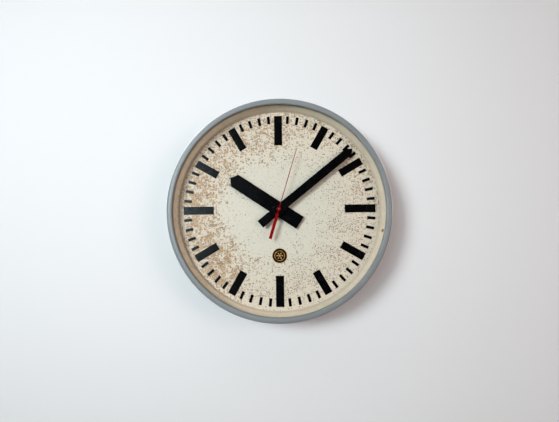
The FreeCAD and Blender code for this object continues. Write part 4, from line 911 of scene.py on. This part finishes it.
def makeStageMaterial(name, colour, oneSided):
    material, tree, shader = newMaterial(name)
    place = addNode(tree, "ShaderNodeTexCoord").outputs["Object"]
    cloud = noise(tree, place, *stageFinish["cloudNoise"])
    feed(tree, shader["Base Color"], layer(tree, colour, cloud, stageFinish["cloudShare"],
                                           stageFinish["cloudColour"]))
    feed(tree, shader["Roughness"], stageFinish["roughness"])
    addBump(tree, shader, noise(tree, place, *stageFinish["grainNoise"]), *stageFinish["bump"])
    if oneSided:
        choice = addNode(tree, "ShaderNodeMixShader", {
            0: addNode(tree, "ShaderNodeNewGeometry").outputs["Backfacing"],
            1: tree.nodes["Principled BSDF"].outputs[0],
            2: addNode(tree, "ShaderNodeBsdfTransparent").outputs[0]})
        feed(tree, tree.nodes["Material Output"].inputs["Surface"], choice.outputs[0])
    return material


def makePlane(name, corners, material):
    mesh = bpy.data.meshes.new(name)
    mesh.from_pydata(corners, [], [(0, 1, 2, 3)])
    mesh.materials.append(material)
    plane = bpy.data.objects.new(name, mesh)
    bpy.context.scene.collection.objects.link(plane)
    return plane


stageSize = {"half": 4.0, "wallGap": 0.0008, "floorDrop": 2.4}
half = stageSize["half"]
gap = stageSize["wallGap"]
drop = -stageSize["floorDrop"]
wall = makePlane("wall", [(-half, gap, drop), (half, gap, drop), (half, gap, half), (-half, gap, half)],
                 makeStageMaterial("wallPlaster", stageFinish["wallColour"], True))
makePlane("floor", [(-half, -half, drop), (half, -half, drop), (half, half, drop), (-half, half, drop)],
          makeStageMaterial("paleFloor", stageFinish["floorColour"], False))

lamps = {
    # place, aim, width, height, watts, spread in degrees, colour, behind the wall
    "windowLight": ((-1.85, -2.65, 0.7), (-0.32, 0.0, 0.14), 1.1, 1.2, 6.8, 43, (0.9, 0.985, 1.0), False),
    "windowEdge": ((-0.9, -2.6, 0.2), (0.0, 0.0, 0.0), 0.36, 1.0, 9.0, 180, (0.7, 0.92, 1.0), False),
    "ceilingBounce": ((-0.5, -1.2, 2.2), (0.0, 0.0, 0.2), 2.6, 1.4, 11.6, 180, (1.0, 0.925, 0.87), False),
    "rightFill": ((2.0, -2.0, 0.2), (0.2, 0.0, 0.0), 1.6, 1.6, 5.2, 70, (1.0, 0.81, 0.75), False),
    "backLeft": ((-1.6, 2.0, 1.4), (0.0, 0.0, 0.0), 1.4, 1.4, 64.0, 180, (1.0, 0.99, 0.97), True),
    "backRight": ((1.8, 2.2, 0.8), (0.0, 0.0, 0.0), 1.6, 1.6, 44.0, 180, (0.97, 0.98, 1.0), True),
}
wallFree = bpy.data.collections.new("wallFree")  # lamps behind the wall shine through it
wallFree.objects.link(wall)
wallFree.collection_objects[0].light_linking.link_state = "EXCLUDE"
for lampName, (place, aim, width, height, watts, spread, colour, behind) in lamps.items():
    lamp = bpy.data.lights.new(lampName, "AREA")
    lamp.shape = "RECTANGLE"
    lamp.size = width
    lamp.size_y = height
    lamp.energy = watts
    lamp.spread = math.radians(spread)
    lamp.color = colour
    lampObject = bpy.data.objects.new(lampName, lamp)
    lampObject.location = place
    lampObject.rotation_euler = (Vector(aim) - Vector(place)).to_track_quat("-Z", "Y").to_euler()
    bpy.context.scene.collection.objects.link(lampObject)
    if behind:
        lampObject.light_linking.blocker_collection = wallFree

roomLight = {
    "colour": (1.0, 0.84, 0.82, 1.0),
    "facing": 0.02,
    "around": 0.07,
    "aroundRange": (-0.95, -0.5),
    "below": 0.1,
    "aboveRange": (-0.7, 0.3),
    "behindRange": (0.1, 0.5, 2.0),
    "backdropColour": (0.8, 0.81, 0.83, 1.0),
    "backdrop": 0.9,
}
world = bpy.data.worlds.new("roomLight")
world.use_nodes = True
room = world.node_tree
generated = addNode(room, "ShaderNodeTexCoord").outputs["Generated"]
direction = addNode(room, "ShaderNodeSeparateXYZ", {"Vector": generated}).outputs
# dimmer straight in front and below
aside = between(room, direction["Y"], *roomLight["aroundRange"], roomLight["around"] - roomLight["facing"])
above = between(room, direction["Z"], *roomLight["aboveRange"], 1.0 - roomLight["below"])
level = maths(room, "MULTIPLY", maths(room, "ADD", aside, roomLight["facing"]),
              maths(room, "ADD", above, roomLight["below"]))
# light on the floor behind the wall, for views of the back
level = maths(room, "ADD", level, between(room, direction["Y"], *roomLight["behindRange"]))
# a pale backdrop, for views past the wall
seen = addNode(room, "ShaderNodeLightPath").outputs["Is Camera Ray"]
shown = addNode(room, "ShaderNodeMix", {"Factor": seen, "A": level, "B": roomLight["backdrop"]},
                data_type="FLOAT")
background = room.nodes["Background"].inputs
feed(room, background["Color"], blendColour(room, seen, roomLight["colour"], roomLight["backdropColour"]))
feed(room, background["Strength"], shown.outputs["Result"])
bpy.context.scene.world = world
bpy.context.scene.view_settings.view_transform = "Standard"

cameraFit = {
    "lens": 25.12,
    "sensor": 36.0,
    "place": (0.0161, -0.753, -0.0631),
    "right": (0.9997, 0.0229, -0.0129),
    "up": (0.0148, -0.0849, 0.9963),
    "back": (0.0217, -0.9961, -0.0852),
}
cameraData = bpy.data.cameras.new("photoCamera")
cameraData.lens = cameraFit["lens"]
cameraData.sensor_width = cameraFit["sensor"]
camera = bpy.data.objects.new("photoCamera", cameraData)
turn = Matrix((cameraFit["right"], cameraFit["up"], cameraFit["back"])).transposed()
camera.matrix_world = Matrix.Translation(cameraFit["place"]) @ turn.to_4x4()
bpy.context.scene.collection.objects.link(camera)
bpy.context.scene.camera = camera
print("stage, lights and camera set")
